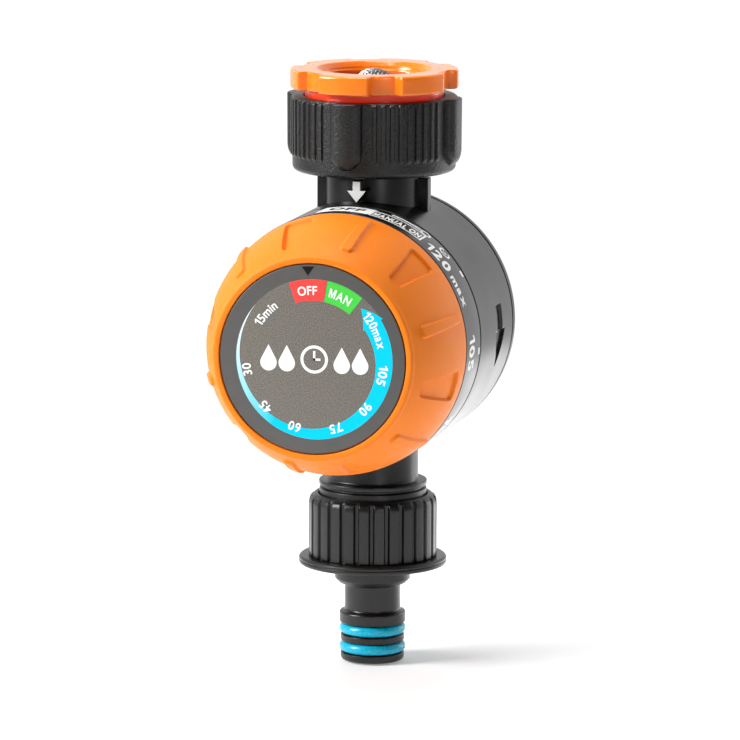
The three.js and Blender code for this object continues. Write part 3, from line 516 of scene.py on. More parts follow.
# Dark grey metal for the painted shade shell inside the filter weave.
FILTER_SHADE_SHELL = metal("filter_shade_shell", linear(92, 95, 98), 0.5, (1, 1, 1))
BRASS = metal("brass", linear(205, 168, 88), 0.34, (1, 4, 1))
ACETAL = rubber("white_acetal", linear(226, 222, 210), 0.5)

SLOT_MATERIALS = {
    "black_abs": BLACK_SMOOTH,
    "orange_rubber": ORANGE_RUBBER,
    "orange_plastic": ORANGE_PLASTIC,
    "label_print": LABEL,
    "blue_rubber": BLUE_RUBBER,
    "black_rubber": BLACK_RUBBER,
    "white_acetal": ACETAL,
    "stainless": STEEL,
    "brass": BRASS,
}


def paint_cad_nodes():
    """Gives each carried-over CAD node the procedural material of its slot."""
    for subpart in frame["record"]["subparts"]:
        node = frame["nodes"][subpart["node"]]
        node.data.materials.clear()
        node.data.materials.append(SLOT_MATERIALS[subpart["material_slot"]])


paint_cad_nodes()

# ---------- knob grip

RING_WALL = 2.5
GRIP_COLUMNS = 1200
GRIP_REPEATS = 6
RIM_RADIUS = DRUM_RADIUS - 0.1
LIP_RADIUS = LABEL_RADIUS + 2.1
LIP_DEPTH = 1.2
DOME_POWER = 1.9
BAR_FIRST, POCKET_FIRST = 15.0, 45.0
POCKET_DEPTH = 1.15
POCKET_HALF_WIDTHS = (4.4, 1.8)  # at the rim and near the lip
POCKET_LOW = 4.7
BAR_HEIGHT = 0.68
BAR_HALF_WIDTHS = (0.95, 1.45)
BAR_LOW = 3.4
WEDGE_HIGH = 20.9  # where pockets and bars end, along the dome
GRIP_THICKNESS = 3.0


def dome_radius(share):
    return LIP_RADIUS + (RIM_RADIUS - LIP_RADIUS) * (1 - share ** DOME_POWER)


def grip_profile():
    """The grip's section with the share of the way from rim to lip, or -1 off the dome."""
    shares = np.linspace(0, 1, 150)
    depth = GRIP_BACK - GRIP_FRONT - LIP_DEPTH
    dome = np.stack([dome_radius(shares), GRIP_BACK - shares * depth], axis=1)
    lip = rounded_profile([
        (dome[-1][0], dome[-1][1]),
        (LIP_RADIUS - 0.35, GRIP_FRONT, 0.7),
        (LABEL_RADIUS + CLEARANCE, GRIP_FRONT, 0.25),
        (LABEL_RADIUS + CLEARANCE, LABEL_BACK + CLEARANCE, 0.1),
        (LIP_RADIUS - GRIP_THICKNESS, LABEL_BACK + CLEARANCE, 0.3),
        (RIM_RADIUS - GRIP_THICKNESS, GRIP_BACK, 0.3),
        (RIM_RADIUS, GRIP_BACK),
    ], closed=False)[1:-1]
    profile = np.concatenate([dome, lip])
    on_dome = np.concatenate([shares, np.full(len(lip), -1.0)])
    return profile, on_dome


def rounded_box_distance(across, along, half_width, low, high, corner):
    """Signed distance to a rounded slot: negative inside."""
    middle, half_length = (low + high) / 2, (high - low) / 2
    dx = np.abs(across) - (half_width - corner)
    dy = np.abs(along - middle) - (half_length - corner)
    outside = np.hypot(np.maximum(dx, 0), np.maximum(dy, 0))
    return outside + np.minimum(np.maximum(dx, dy), 0) - corner


def tapered(half_widths, along):
    rim, lip = half_widths
    return rim + (lip - rim) * np.clip(along / 21, 0, 1)


def build_grip():
    profile, share = grip_profile()
    angle = around(GRIP_COLUMNS)[None, :]
    along = (share * (GRIP_BACK - GRIP_FRONT) * 1.03)[:, None]
    radius = profile[:, :1]
    across_pocket = np.radians(nearest_of(angle, GRIP_REPEATS, POCKET_FIRST)) * radius
    across_bar = np.radians(nearest_of(angle, GRIP_REPEATS, BAR_FIRST)) * radius
    pocket_width = tapered(POCKET_HALF_WIDTHS, along)
    bar_width = tapered(BAR_HALF_WIDTHS, along)
    pocket = rounded_box_distance(across_pocket, along, pocket_width, POCKET_LOW, WEDGE_HIGH, 1.3)
    bar = rounded_box_distance(across_bar, along, bar_width, BAR_LOW, WEDGE_HIGH, 0.9)
    depth = POCKET_DEPTH * (0.45 + 0.55 * np.clip(along / 15, 0, 1))
    height = -depth * smoothstep(0.16, -0.34, pocket)
    height += BAR_HEIGHT * smoothstep(0.22, -0.3, bar)
    height *= (share >= 0)[:, None]
    tangent = np.gradient(profile, axis=0)
    normal = np.stack([-tangent[:, 1], tangent[:, 0]], axis=1)
    normal /= np.linalg.norm(normal, axis=1, keepdims=True)
    moved = profile[:, None, :] + normal[:, None, :] * height[:, :, None]
    r, y = moved[..., 0], moved[..., 1]
    points = np.stack([r * np.cos(angle), y, DRUM_Z + r * np.sin(angle)], axis=-1)
    piece = grid_piece("grip", points)
    finish_piece(piece, "dial", ORANGE_RUBBER, ["knob_grip"])


build_grip()

# ---------- dial ring and label


def build_dial_core():
    cone = RIM_RADIUS - 3.3
    tip = LIP_RADIUS - 3.3
    inner = DRUM_RADIUS - RING_WALL
    front = core_low[1]
    profile = rounded_profile([
        (0, front),
        (tip, front, 0.3),
        (cone, RING_FRONT, 0.2),
        (DRUM_RADIUS, RING_FRONT, 0.35),
        (DRUM_RADIUS, RING_BACK, 0.55),
        (inner, RING_BACK, 0.3),
        (inner, RING_FRONT + RING_WALL, 0.3),
        (cone - 2.4, RING_FRONT - 1.8, 0.3),
        (tip - 2, front + 2, 0.3),
        (0, front + 2),
    ], closed=False)
    piece = grid_piece("dial_ring", spin_y(profile, 288), closed=False)
    finish_piece(piece, "dial", BLACK_SMOOTH, ["dial_core"])


def build_label():
    profile = rounded_profile([
        (0, LABEL_BACK),
        (LABEL_RADIUS, LABEL_BACK, 0.1),
        (LABEL_RADIUS, LABEL_FRONT, 0.25),
        (0, LABEL_FRONT),
    ], closed=False)
    piece = grid_piece("label_disc", spin_y(profile, 288), closed=False)
    finish_piece(piece, "dial", LABEL, ["dial_label"])


build_dial_core()
build_label()

# ---------- printing

INK_PROUD = 0.05
INK_SUNK = 0.03
LETTER_GAP = 0.13
WORD_GAP = 0.45
LETTER_M = [(0, 0), (0, 1), (0.25, 1), (0.45, 0.35), (0.65, 1), (0.9, 1), (0.9, 0), (0.73, 0), (0.73, 0.75),
            (0.53, 0), (0.37, 0), (0.17, 0.75), (0.17, 0)]
FIGURE_ONE = [(0.24, 0), (0.43, 0), (0.43, 1), (0.29, 1), (0, 0.8), (0, 0.63), (0.24, 0.77)]


def font_mesh(body, weight):
    """The built-in font's shape of a text as a closed slab with depth 0 (back) to 1 (front)."""
    curve = bpy.data.curves.new("text", "FONT")
    curve.body = body
    curve.extrude = 0.5
    curve.offset = weight
    curve.resolution_u = 4
    holder = bpy.data.objects.new("text", curve)
    SCENE.collection.objects.link(holder)
    depsgraph = bpy.context.evaluated_depsgraph_get()
    mesh = bpy.data.meshes.new_from_object(holder.evaluated_get(depsgraph))
    bpy.data.objects.remove(holder)
    work = bmesh.new()
    work.from_mesh(mesh)
    bmesh.ops.remove_doubles(work, verts=work.verts, dist=1e-5)
    for vert in work.verts:
        vert.co.z += 0.5
    return work


def extent(work, axis):
    values = [vert.co[axis] for vert in work.verts]
    return min(values), max(values)


def text_mesh(body, height, width, weight=0.02):
    """Text as closed slabs, centred, with capitals of a height and the whole of a width, mm."""
    low, high = extent(font_mesh("H", weight), 1)
    capital = high - low
    drawn = {"1": FIGURE_ONE, "M": LETTER_M}
    whole = bmesh.new()
    cursor = 0.0
    for letter in body:
        if letter == " ":
            cursor += WORD_GAP
            continue
        glyph = outline_mesh(drawn[letter]) if letter in drawn else font_mesh(letter, weight)
        scale = 1.0 if letter in drawn else 1 / capital
        left, right = extent(glyph, 0)
        for vert in glyph.verts:
            vert.co.x = cursor + (vert.co.x - left) * scale
            vert.co.y *= scale
        cursor += (right - left) * scale + LETTER_GAP
        whole.from_mesh(mesh_of(glyph, "glyph"))
    length = cursor - LETTER_GAP
    for vert in whole.verts:
        vert.co.x = (vert.co.x / length - 0.5) * width
        vert.co.y = (vert.co.y - 0.5) * height
    return whole


def outline_mesh(corners):
    """A closed slab from a flat outline of (x, y) corners, with depth 0 to 1."""
    work = bmesh.new()
    back = [work.verts.new((x, y, 0)) for x, y in corners]
    front = [work.verts.new((x, y, 1)) for x, y in corners]
    work.faces.new(back[::-1])
    work.faces.new(front)
    for k in range(len(corners)):
        after = (k + 1) % len(corners)
        work.faces.new((back[k], back[after], front[after], front[k]))
    return work


def print_piece(name, slabs, body, material, longest=1.0):
    """One piece from slabs, each a (bmesh, warp) pair; warp maps x, y, depth to a place in mm."""
    whole = bmesh.new()
    for work, warp in slabs:
        bmesh.ops.triangulate(work, faces=[f for f in work.faces if len(f.verts) > 4])
        for _ in range(6):
            long_edges = [e for e in work.edges if (e.verts[0].co - e.verts[1].co).xy.length > longest]
            if not long_edges:
                break
            bmesh.ops.subdivide_edges(work, edges=long_edges, cuts=1)
            bmesh.ops.triangulate(work, faces=[f for f in work.faces if len(f.verts) > 4])
        for vert in work.verts:
            vert.co = Vector(warp(*vert.co)) * MM
        bmesh.ops.recalc_face_normals(work, faces=work.faces)
        whole.from_mesh(mesh_of(work, "part"))
    piece = bpy.data.objects.new(name, mesh_of(whole, name))
    SCENE.collection.objects.link(piece)
    return finish_piece(piece, body, material)


def on_label(level=0):
    """Straight print on the label; level stacks one ink over another."""
    def warp(x, y, depth):
        return PRINT_SHIFT + x, label_ink_y(depth, level), DRUM_Z + y
    return warp


def round_label(radius, degrees, level=0):
    """Print that runs clockwise round the label with its top outwards, centred at an angle."""
    def warp(x, y, depth):
        angle = math.radians(degrees) - x / radius
        reach = radius + y
        return (PRINT_SHIFT + reach * math.cos(angle), label_ink_y(depth, level),
                DRUM_Z + reach * math.sin(angle))
    return warp


def label_ink_y(depth, level):
    return LABEL_FRONT + INK_SUNK - depth * (INK_SUNK + INK_PROUD * (1 + level))


def on_ring(depth_y, degrees, level=0):
    """Print round the black ring with its top towards the housing."""
    def warp(x, y, depth):
        angle = math.radians(degrees) - x / DRUM_RADIUS
        reach = DRUM_RADIUS - INK_SUNK + depth * (INK_SUNK + INK_PROUD * (1 + level))
        return reach * math.cos(angle), depth_y + y, DRUM_Z + reach * math.sin(angle)
    return warp


def sector(radius, low, high, start, end):
    """A band round the label between two angles, as a slab drawn along its middle radius."""
    count = max(2, int(abs(end - start) / 3))
    lengths = np.radians(np.linspace(0, start - end, count)) * radius
    lower = [(x, low - radius) for x in lengths]
    upper = [(x, high - radius) for x in lengths[::-1]]
    return outline_mesh(lower + upper), round_label(radius, start)


TIME_ARROW_START, TIME_ARROW_END = 32.0, -221.0
TIME_ARROW_OUTER = 18.75
TIME_ARROW_WIDTH = 4.6
TIME_RADIUS = 16.6
TIME_ARROW_HEAD = 16.2  # degrees
PATCH_BAND = (13.75, 18.75)


def time_arrow():
    """The band with its head at 120 minutes, which thins round the label to 15 minutes."""
    radius = TIME_RADIUS
    span = TIME_ARROW_START - TIME_ARROW_END
    shares = np.linspace(0, 1, 90)
    lengths = np.radians(shares * span) * radius
    widths = TIME_ARROW_WIDTH * (1 - shares) ** 0.95
    outer = [(x, TIME_ARROW_OUTER - radius) for x in lengths]
    inner = [(x, TIME_ARROW_OUTER - w - radius) for x, w in zip(lengths, widths)]
    tip = (-math.radians(TIME_ARROW_HEAD) * radius, 0.1)
    barb_out = (0.0, 2.75)
    barb_in = (0.25, -2.95)
    outline = [tip, barb_out] + outer + inner[::-1] + [barb_in]
    return outline_mesh(outline), round_label(radius, TIME_ARROW_START)


def drop(centre_x, height):
    """A water drop: a point over a round bottom."""
    radius = height * 0.32
    points = [(centre_x, height / 2)]
    for k in range(15):
        angle = math.radians(150 + 240 * k / 14)
        points.append((centre_x + radius * math.cos(angle), -height / 2 + radius + radius * math.sin(angle)))
    return points


def annulus_mesh(inner, outer, start=0.0, span=360.0):
    """A flat ring, or a part of one, as a closed slab."""
    closed = span >= 360
    count = 40
    angles = np.radians(start + span * np.arange(count if closed else count + 1) / count)
    work = bmesh.new()
    rows = []
    for angle in angles:
        c, sn = math.cos(angle), math.sin(angle)
        section = ((inner, 0), (outer, 0), (outer, 1), (inner, 1))
        rows.append([work.verts.new((radius * c, radius * sn, depth)) for radius, depth in section])
    for row, after in zip(rows, rows[1:] + rows[:closed]):
        for k in range(4):
            j = (k + 1) % 4
            work.faces.new((row[k], row[j], after[j], after[k]))
    if not closed:
        work.faces.new(rows[0][::-1])
        work.faces.new(rows[-1])
    return work


def hand(length, width, turn):
    corners = [(-width / 2, -width / 2), (length, -width / 2), (length, width / 2), (-width / 2, width / 2)]
    return [rotated(corner, math.radians(turn)) for corner in corners]


def build_label_print():
    print_piece("off_patch", [sector(16.2, *PATCH_BAND, 109.0, 80.8)], "dial", RED_INK)
    print_piece("manual_patch", [sector(16.2, *PATCH_BAND, 80.2, 52.2)], "dial", GREEN_INK)
    print_piece("time_arrow", [time_arrow()], "dial", CYAN_INK)
    numbers = [
        ("15min", 15.7, 138.5, 2.15, 6.6),
        ("30", 16.5, 190.5, 2.15, 2.9),
        ("45", 16.6, 225.0, 2.15, 2.9),
        ("60", 16.7, 253.6, 2.15, 3.0),
        ("75", 16.8, 288.3, 2.15, 3.0),
        ("90", 16.6, 318.0, 2.15, 3.0),
        ("105", 16.7, 349.5, 2.15, 4.6),
        ("120max", TIME_RADIUS, 26.8, 2.15, 8.9),
        ("OFF", 16.2, 96.0, 2.1, 4.7),
        ("MAN", 16.2, 67.4, 2.1, 5.5),
    ]
    slabs = [(text_mesh(body, height, width), round_label(radius, degrees, 1))
             for body, radius, degrees, height, width in numbers]
    slabs.append((annulus_mesh(2.6, 3.3), on_label()))
    emblem = [hand(2.0, 0.55, 90), hand(1.5, 0.55, 0)]
    drops = [drop(x, 6.2) for x in (-11.0, -6.6, 6.6, 11.0)]
    slabs += [(outline_mesh(points), on_label()) for points in emblem + drops]
    print_piece("label_numbers", slabs, "dial", WHITE_INK)
    marker = [(-1.45, 0.95), (-0.2, -1.15), (1.45, 0.95)]
    print_piece("dial_marker", [(outline_mesh(marker), round_label(20.8, 94.0))], "dial", BLACK_INK)


RING_NUMBER_ROW = -26.2
RING_TICK_ROW = -19.6
RING_FIRST_TICK = 31.0
RING_TICK_STEP = 35.0


def bar(warp, width, height, slant=0.0):
    return outline_mesh([
        (-width / 2 - slant, -height / 2), (width / 2 - slant, -height / 2),
        (width / 2 + slant, height / 2), (-width / 2 + slant, height / 2),
    ]), warp


def frame_slabs(width, height, line, middle_y, degrees):
    """A rectangular frame from four bars."""
    across = math.degrees((width - line) / 2 / DRUM_RADIUS)
    along = (height - line) / 2
    return [
        bar(on_ring(middle_y + along, degrees), width, line),
        bar(on_ring(middle_y - along, degrees), width, line),
        bar(on_ring(middle_y, degrees + across), line, height),
        bar(on_ring(middle_y, degrees - across), line, height),
    ]


def build_ring_print():
    slabs = [bar(on_ring(-24.4, 90.3), 12.6, 7.2, 0.4)]
    slabs += frame_slabs(14.0, 6.3, 0.45, -24.9, 66.0)
    slabs.append((text_mesh("MANUAL ON", 3.5, 12.4, 0.035), on_ring(-25.1, 66.0)))
    slabs.append((annulus_mesh(1.2, 1.75, 120, 290), on_ring(-21.0, 42.6)))
    slabs.append(bar(on_ring(-21.0, 42.6), 1.4, 0.5))
    slabs.append((annulus_mesh(1.0, 1.5), on_ring(-20.3, 54.4)))
    slabs.append(bar(on_ring(-20.2, 64.5), 7.5, 0.9))
    for k, number in enumerate(("120", "105", "90", "75", "60", "45", "30", "15")):
        degrees = RING_FIRST_TICK - RING_TICK_STEP * k
        is_first = k == 0
        width = 2.95 * len(number) - 0.6
        middle = degrees + (11.4 if is_first else 1.0)
        slabs.append((text_mesh(number, 4.9, width, 0.035), on_ring(RING_NUMBER_ROW, middle)))
        slabs.append(bar(on_ring(RING_TICK_ROW, degrees), 1.6, 1.3))
        if is_first:
            slabs.append((text_mesh("max", 3.6, 7.8, 0.03), on_ring(RING_NUMBER_ROW - 0.9, degrees - 5.8)))
    print_piece("ring_scale", slabs, "dial", WHITE_INK)
    print_piece("ring_off", [(text_mesh("OFF", 3.9, 8.6, 0.03), on_ring(-24.4, 90.0, 1))], "dial", BLACK_INK)


build_label_print()
build_ring_print()

# ---------- housing

SIDE_ARROW_DEPTH = 0.75
HOUSING_WALL = 2.5
PARTITION_FRONT, PARTITION_BACK = -8.0, -5.5
WATERWAY_RADIUS = 7.0
TUBE_RADIUS = 11.0


def side_arrow_mask(depth_y, height):
    """1 inside the down arrow on the housing's right side, 0 outside."""
    middle_y, top, tip, barb = 1.0, 5.7, -9.1, -0.5
    half_shaft, half_head = 2.35, 4.45
    across = np.abs(depth_y - middle_y)
    shaft = smoothstep(0.15, -0.15, across - half_shaft) * smoothstep(0.15, -0.15, height - top)
    shaft = shaft * smoothstep(-0.15, 0.15, height - barb)
    head_width = half_head * (height - tip) / (barb - tip)
    head = smoothstep(0.15, -0.15, across - head_width) * smoothstep(0.15, -0.15, height - barb)
    return np.maximum(shaft, head * (height > tip))


def drum_change(radius, depth, angle):
    height = DRUM_RADIUS * np.sin(angle)
    on_side = (np.cos(angle) > 0) & (radius > DRUM_RADIUS - 0.1)
    return -SIDE_ARROW_DEPTH * side_arrow_mask(depth, height) * on_side


def build_drum():
    inner = DRUM_RADIUS - HOUSING_WALL
    outer = rounded_profile([
        (inner, HOUSING_FRONT, 0.2),
        (DRUM_RADIUS, HOUSING_FRONT, 0.5),
        (DRUM_RADIUS, HOUSING_BACK, 0.6),
        (inner, HOUSING_BACK, 0.2),
        (inner, PARTITION_BACK, 0.3),
        (0, PARTITION_BACK),
        (0, PARTITION_FRONT),
        (inner, PARTITION_FRONT, 0.3),
    ])
    profile = dense(outer, 0.3)
    piece = grid_piece("housing_drum", spin_y(profile, 900, radius_change=drum_change), closed=True)
    finish_piece(piece, "housing", BLACK_SMOOTH, ["main_housing"])


def rounded_block(name, outline, front, back, bevel):
    """An outline in X and Z between two depths, with its edges rounded."""
    work = bmesh.new()
    near = [work.verts.new((x * MM, front * MM, z * MM)) for x, z in outline]
    far = [work.verts.new((x * MM, back * MM, z * MM)) for x, z in outline]
    work.faces.new(near)
    work.faces.new(far[::-1])
    for k in range(len(outline)):
        after = (k + 1) % len(outline)
        work.faces.new((near[after], near[k], far[k], far[after]))
    bmesh.ops.recalc_face_normals(work, faces=work.faces)
    bmesh.ops.bevel(work, geom=work.edges[:], offset=bevel * MM, segments=3, profile=0.5, affect="EDGES")
    return to_object(name, mesh_of(work, name), 30.0)


NECK_RADIUS = 11.4
FIN_HALF_SPAN = 13.7
FIN_HALF_THICKNESS = 1.5
FIN_DROP = 1.2
POINTER_FACE = -16.2
POINTER_TIP = DRUM_Z + DRUM_RADIUS + 0.3
POINTER = [(0, 0), (2.4, 2.9), (0.95, 2.9), (0.95, 5.2), (-0.95, 5.2), (-0.95, 2.9), (-2.4, 2.9)]


def build_neck():
    top = NUT_BASE - 0.3
    drum_top = DRUM_Z + DRUM_RADIUS
    foot = drum_top - 5
    pipe = rounded_profile([
        (WATERWAY_RADIUS, foot),
        (NECK_RADIUS, foot),
        (NECK_RADIUS, top, 0.3),
        (TUBE_RADIUS, top + 0.01),
        (TUBE_RADIUS, TUBE_TOP, 0.4),
        (WATERWAY_RADIUS, TUBE_TOP, 0.4),
    ])
    piece = grid_piece("neck_pipe", spin_z(pipe, 180))
    finish_piece(piece, "housing", BLACK_SMOOTH)
    fin_top = top - FIN_DROP
    half = FIN_HALF_SPAN
    fins = [(-half, foot), (half, foot), (half, fin_top), (-half, fin_top)]
    piece = rounded_block("neck_fins", fins, -FIN_HALF_THICKNESS, FIN_HALF_THICKNESS, 0.25)
    finish_piece(piece, "housing", BLACK_SMOOTH)
    outline = [(x, POINTER_TIP + z) for x, z in POINTER]
    piece = rounded_block("neck_pointer", outline, POINTER_FACE, 2 - NECK_RADIUS, 0.12)
    finish_piece(piece, "housing", BLACK_SMOOTH)


def build_pointer_paint():
    """White paint on the pointer's face, just inside its rounded edge."""
    def warp(x, z, depth):
        return x * 0.94, POINTER_FACE + INK_SUNK - depth * INK_SUNK * 1.3, POINTER_TIP + 0.15 + z * 0.95
    print_piece("pointer_paint", [(outline_mesh(POINTER), warp)], "housing", WHITE_INK)


OUTLET_NECK_RADIUS = 10.9
OUTLET_NECK_LENGTH = 6.7
OUTLET_COLLAR_RADIUS = 13.0
OUTLET_THREAD_RADIUS = 12.9


def build_outlet():
    low = DRUM_Z - DRUM_RADIUS
    collar_top = low - OUTLET_NECK_LENGTH
    profile = rounded_profile([
        (WATERWAY_RADIUS, low + 6),
        (OUTLET_NECK_RADIUS, low + 6),
        (OUTLET_NECK_RADIUS, collar_top, 0.5),
        (OUTLET_COLLAR_RADIUS, collar_top, 0.3),
        (OUTLET_COLLAR_RADIUS, collar_top - 1.15, 0.25),
        (12.1, collar_top - 1.35, 0.15),
        (12.1, collar_top - 1.75, 0.15),
        (OUTLET_THREAD_RADIUS, collar_top - 1.95, 0.2),
        (OUTLET_THREAD_RADIUS, OUTLET_END, 0.4),
        (WATERWAY_RADIUS, OUTLET_END, 0.4),
    ])
    piece = grid_piece("outlet_neck", spin_z(profile, 216))
    finish_piece(piece, "housing", BLACK_MATT)


SCREW_CIRCLE = 25.5
SCREW_ANGLES = (45, 135, 225, 315)
SCREW_SHANK, SCREW_HEAD = 1.2, 2.8
SCREW_HEAD_HEIGHT = 1.6
WELL_RADIUS = 3.1
WELL_FLOOR = 1.2


def build_cover():
    profile = rounded_profile([
        (0, COVER_FRONT),
        (DRUM_RADIUS, COVER_FRONT, 0.6),
        (DRUM_RADIUS, COVER_BACK, 1.1),
        (DRUM_RADIUS - 3.2, COVER_BACK, 0.3),
        (DRUM_RADIUS - 3.6, COVER_BACK - 0.5, 0.3),
        (0, COVER_BACK - 0.5),
    ], closed=False)
    piece = grid_piece("rear_cover", spin_y(profile, 288), closed=False)
    floor, above = COVER_FRONT + WELL_FLOOR, COVER_BACK + 2
    well = rounded_profile([(0, floor), (WELL_RADIUS, floor), (WELL_RADIUS, above), (0, above)], closed=False)
    for degrees in SCREW_ANGLES:
        x, z = screw_place(degrees)
        tool = grid_piece("well", spin_y(well, 48, x, z), closed=False)
        cut_out(piece, tool)
    finish_piece(piece, "housing", BLACK_SMOOTH, ["back_cover"])


def screw_place(degrees):
    angle = math.radians(degrees)
    return SCREW_CIRCLE * math.cos(angle), DRUM_Z + SCREW_CIRCLE * math.sin(angle)


def build_cover_screws():
    for number, degrees in enumerate(SCREW_ANGLES, 1):
        node = f"cover_screw_{number}"
        x, z = screw_place(degrees)
        low, high = box_mm(node)
        head = rounded_profile([
            (0, low[1]),
            (SCREW_SHANK, low[1], 0.3),
            (SCREW_SHANK, high[1] - SCREW_HEAD_HEIGHT),
            (SCREW_HEAD, high[1] - SCREW_HEAD_HEIGHT, 0.15),
            (SCREW_HEAD, high[1] - 0.5, 0.5),
            (0, high[1]),
        ], closed=False)
        piece = grid_piece(f"fine_{node}", spin_y(head, 48, x, z), closed=False)
        for turn in (degrees, degrees + 90):
            cut_out(piece, screw_slot(x, z, high[1], turn))
        finish_piece(piece, "housing", STEEL, [node])


def screw_slot(x, z, top, turn):
    """One arm of a cross recess."""
    long, wide = 1.6, 0.35
    c, s = math.cos(math.radians(turn)), math.sin(math.radians(turn))
    corners = [(-long, -wide), (long, -wide), (long, wide), (-long, wide)]
    points = [(x + a * c - b * s, y, z + a * s + b * c) for y in (top - 1.1, top + 1) for a, b in corners]
    faces = [(0, 1, 2, 3), (7, 6, 5, 4), (0, 4, 5, 1), (1, 5, 6, 2), (2, 6, 7, 3), (3, 7, 4, 0)]
    return to_object("slot", mesh_from(points, faces))


build_drum()
build_neck()
build_pointer_paint()
build_outlet()
build_cover()
build_cover_screws()

# ---------- inlet nut

NUT_COLUMNS = 1080
NUT_RADIUS = 19.6
NUT_WEB = 3.2
NUT_HOLE = 11.3
NUT_BORE = 16.9
LOBE_FOOT = 2.0
LOBE_FIRST = -95.0
LOBE_HEIGHT = 2.1
LOBE_HALF_WIDTH = 3.9
RIB_PITCH = 6.2
RIB_COUNT = 9
RIB_HEIGHT = 0.45
RIB_GROOVE = 0.45
PLAIN_BAND = 4.0


def nut_change(radius, height, angle):
    on_outside = smoothstep(18.0, 19.0, radius)
    from_base = height - NUT_BASE
    ribbed = smoothstep(PLAIN_BAND - 0.15, PLAIN_BAND + 0.15, from_base)
    ribbed = ribbed * smoothstep(0.25, 0.55, NUT_TOP - height)
    side = nearest_of(angle, 4, LOBE_FIRST + 45)
    in_field = smoothstep(RIB_PITCH * RIB_COUNT / 2 + 0.3, RIB_PITCH * RIB_COUNT / 2 - 0.3, np.abs(side))
    in_pitch = np.abs((side / RIB_PITCH + 0.5) % 1 - 0.5) * 2
    rib = smoothstep(0.72, 0.38, in_pitch) * in_field
    groove = -RIB_GROOVE * (1 - rib) * in_field
    across = np.radians(nearest_of(angle, 4, LOBE_FIRST)) * NUT_RADIUS
    lobe_low = NUT_BASE + LOBE_FOOT
    reach = np.hypot(across, np.minimum(0, height - lobe_low - LOBE_HALF_WIDTH))
    crown = LOBE_HEIGHT * np.sqrt(np.clip(1 - (reach / LOBE_HALF_WIDTH) ** 2.6, 0, 1))
    texture = (rib * RIB_HEIGHT + groove) * ribbed
    return on_outside * np.where(crown > texture, crown, texture)


def build_nut():
    web = NUT_BASE + NUT_WEB
    profile = rounded_profile([
        (NUT_HOLE, NUT_BASE, 0.3),
        (NUT_RADIUS - 0.1, NUT_BASE, 1.3),
        (NUT_RADIUS, NUT_TOP, 0.4),
        (NUT_BORE, NUT_TOP, 0.3),
        (NUT_BORE, web, 0.3),
        (NUT_HOLE, web, 0.3),
    ])
    points = spin_z(dense(profile, 0.35), NUT_COLUMNS, nut_change)
    piece = grid_piece("swivel_nut", points, smooth_angle=50.0)
    finish_piece(piece, "inlet_nut", BLACK_GRAINED, ["inlet_nut"])


build_nut()

# ---------- tap adaptor and filter

COLLAR_RADIUS = 20.1
COLLAR_VALLEY = 2.2
COLLAR_HEIGHT = 4.6
COLLAR_FIRST = -98.0
THREAD_PITCH = 1.81


def adaptor_change(radius, height, angle):
    outside = np.clip((radius - 16.7) / (COLLAR_RADIUS - 16.7), 0, 1)
    from_lobe = np.abs(nearest_of(angle, 6, COLLAR_FIRST))
    valley = smoothstep(17.6, 21.6, from_lobe)
    inside = smoothstep(13.4, 13.1, radius) * smoothstep(12.0, 12.2, radius)
    inside = inside * smoothstep(1.4, 2.0, INLET_TOP - height)
    inside = inside * (height > INLET_TOP - 13.0)
    turn = (height / THREAD_PITCH - angle / (2 * math.pi)) % 1
    thread = -0.55 * (1 - np.abs(turn * 2 - 1)) * inside
    return -COLLAR_VALLEY * valley * outside + thread


def build_adaptor():
    base = adaptor_low[2]
    bore, bushing, socket = 7.5, 16.6, 13.0
    collar_base = INLET_TOP - COLLAR_HEIGHT
    floor = base + 2.2
    profile = rounded_profile([
        (bore, base, 0.3),
        (bushing, base, 0.6),
        (bushing, collar_base, 0.4),
        (COLLAR_RADIUS, collar_base, 0.5),
        (COLLAR_RADIUS, INLET_TOP, 0.75),
        (13.9, INLET_TOP, 0.5),
        (socket, INLET_TOP - 1.2, 0.3),
        (socket, floor, 0.2),
        (bore, floor, 0.2),
    ])
    points = spin_z(dense(profile, 0.3), 720, adaptor_change)
    piece = grid_piece("tap_adaptor_fine", points)
    finish_piece(piece, "tap_adaptor", ORANGE_PLASTIC, ["tap_adaptor"])


def build_washer(node, inner, outer):
    low, high = box_mm(node)
    profile = rounded_profile([
        (inner, low[2], 0.3),
        (outer, low[2], 0.3),
        (outer, high[2], 0.3),
        (inner, high[2], 0.3),
    ])
    piece = grid_piece(f"{node}_fine", spin_z(profile, 144))
    finish_piece(piece, "tap_adaptor", BLACK_RUBBER, [node])


def tube_along(points, radius, sides):
    """Points and faces of a round wire along a line of points, with closed ends."""
    points = np.asarray(points)
    tangent = np.gradient(points, axis=0)
    tangent /= np.linalg.norm(tangent, axis=1, keepdims=True)
    side = np.cross(tangent, [0.0, 0.0, 1.0])
    flat = np.linalg.norm(side, axis=1) < 1e-6
    side[flat] = [1.0, 0.0, 0.0]
    side /= np.linalg.norm(side, axis=1, keepdims=True)
    up = np.cross(side, tangent)
    angles = around(sides)
    ring = side[:, None] * np.cos(angles)[None, :, None] + up[:, None] * np.sin(angles)[None, :, None]
    shell = (points[:, None] + radius * ring).reshape(-1, 3)
    faces = grid_faces(len(points), sides, False)
    faces.append(list(range(sides))[::-1])
    faces.append([(len(points) - 1) * sides + k for k in range(sides)])
    return shell, faces


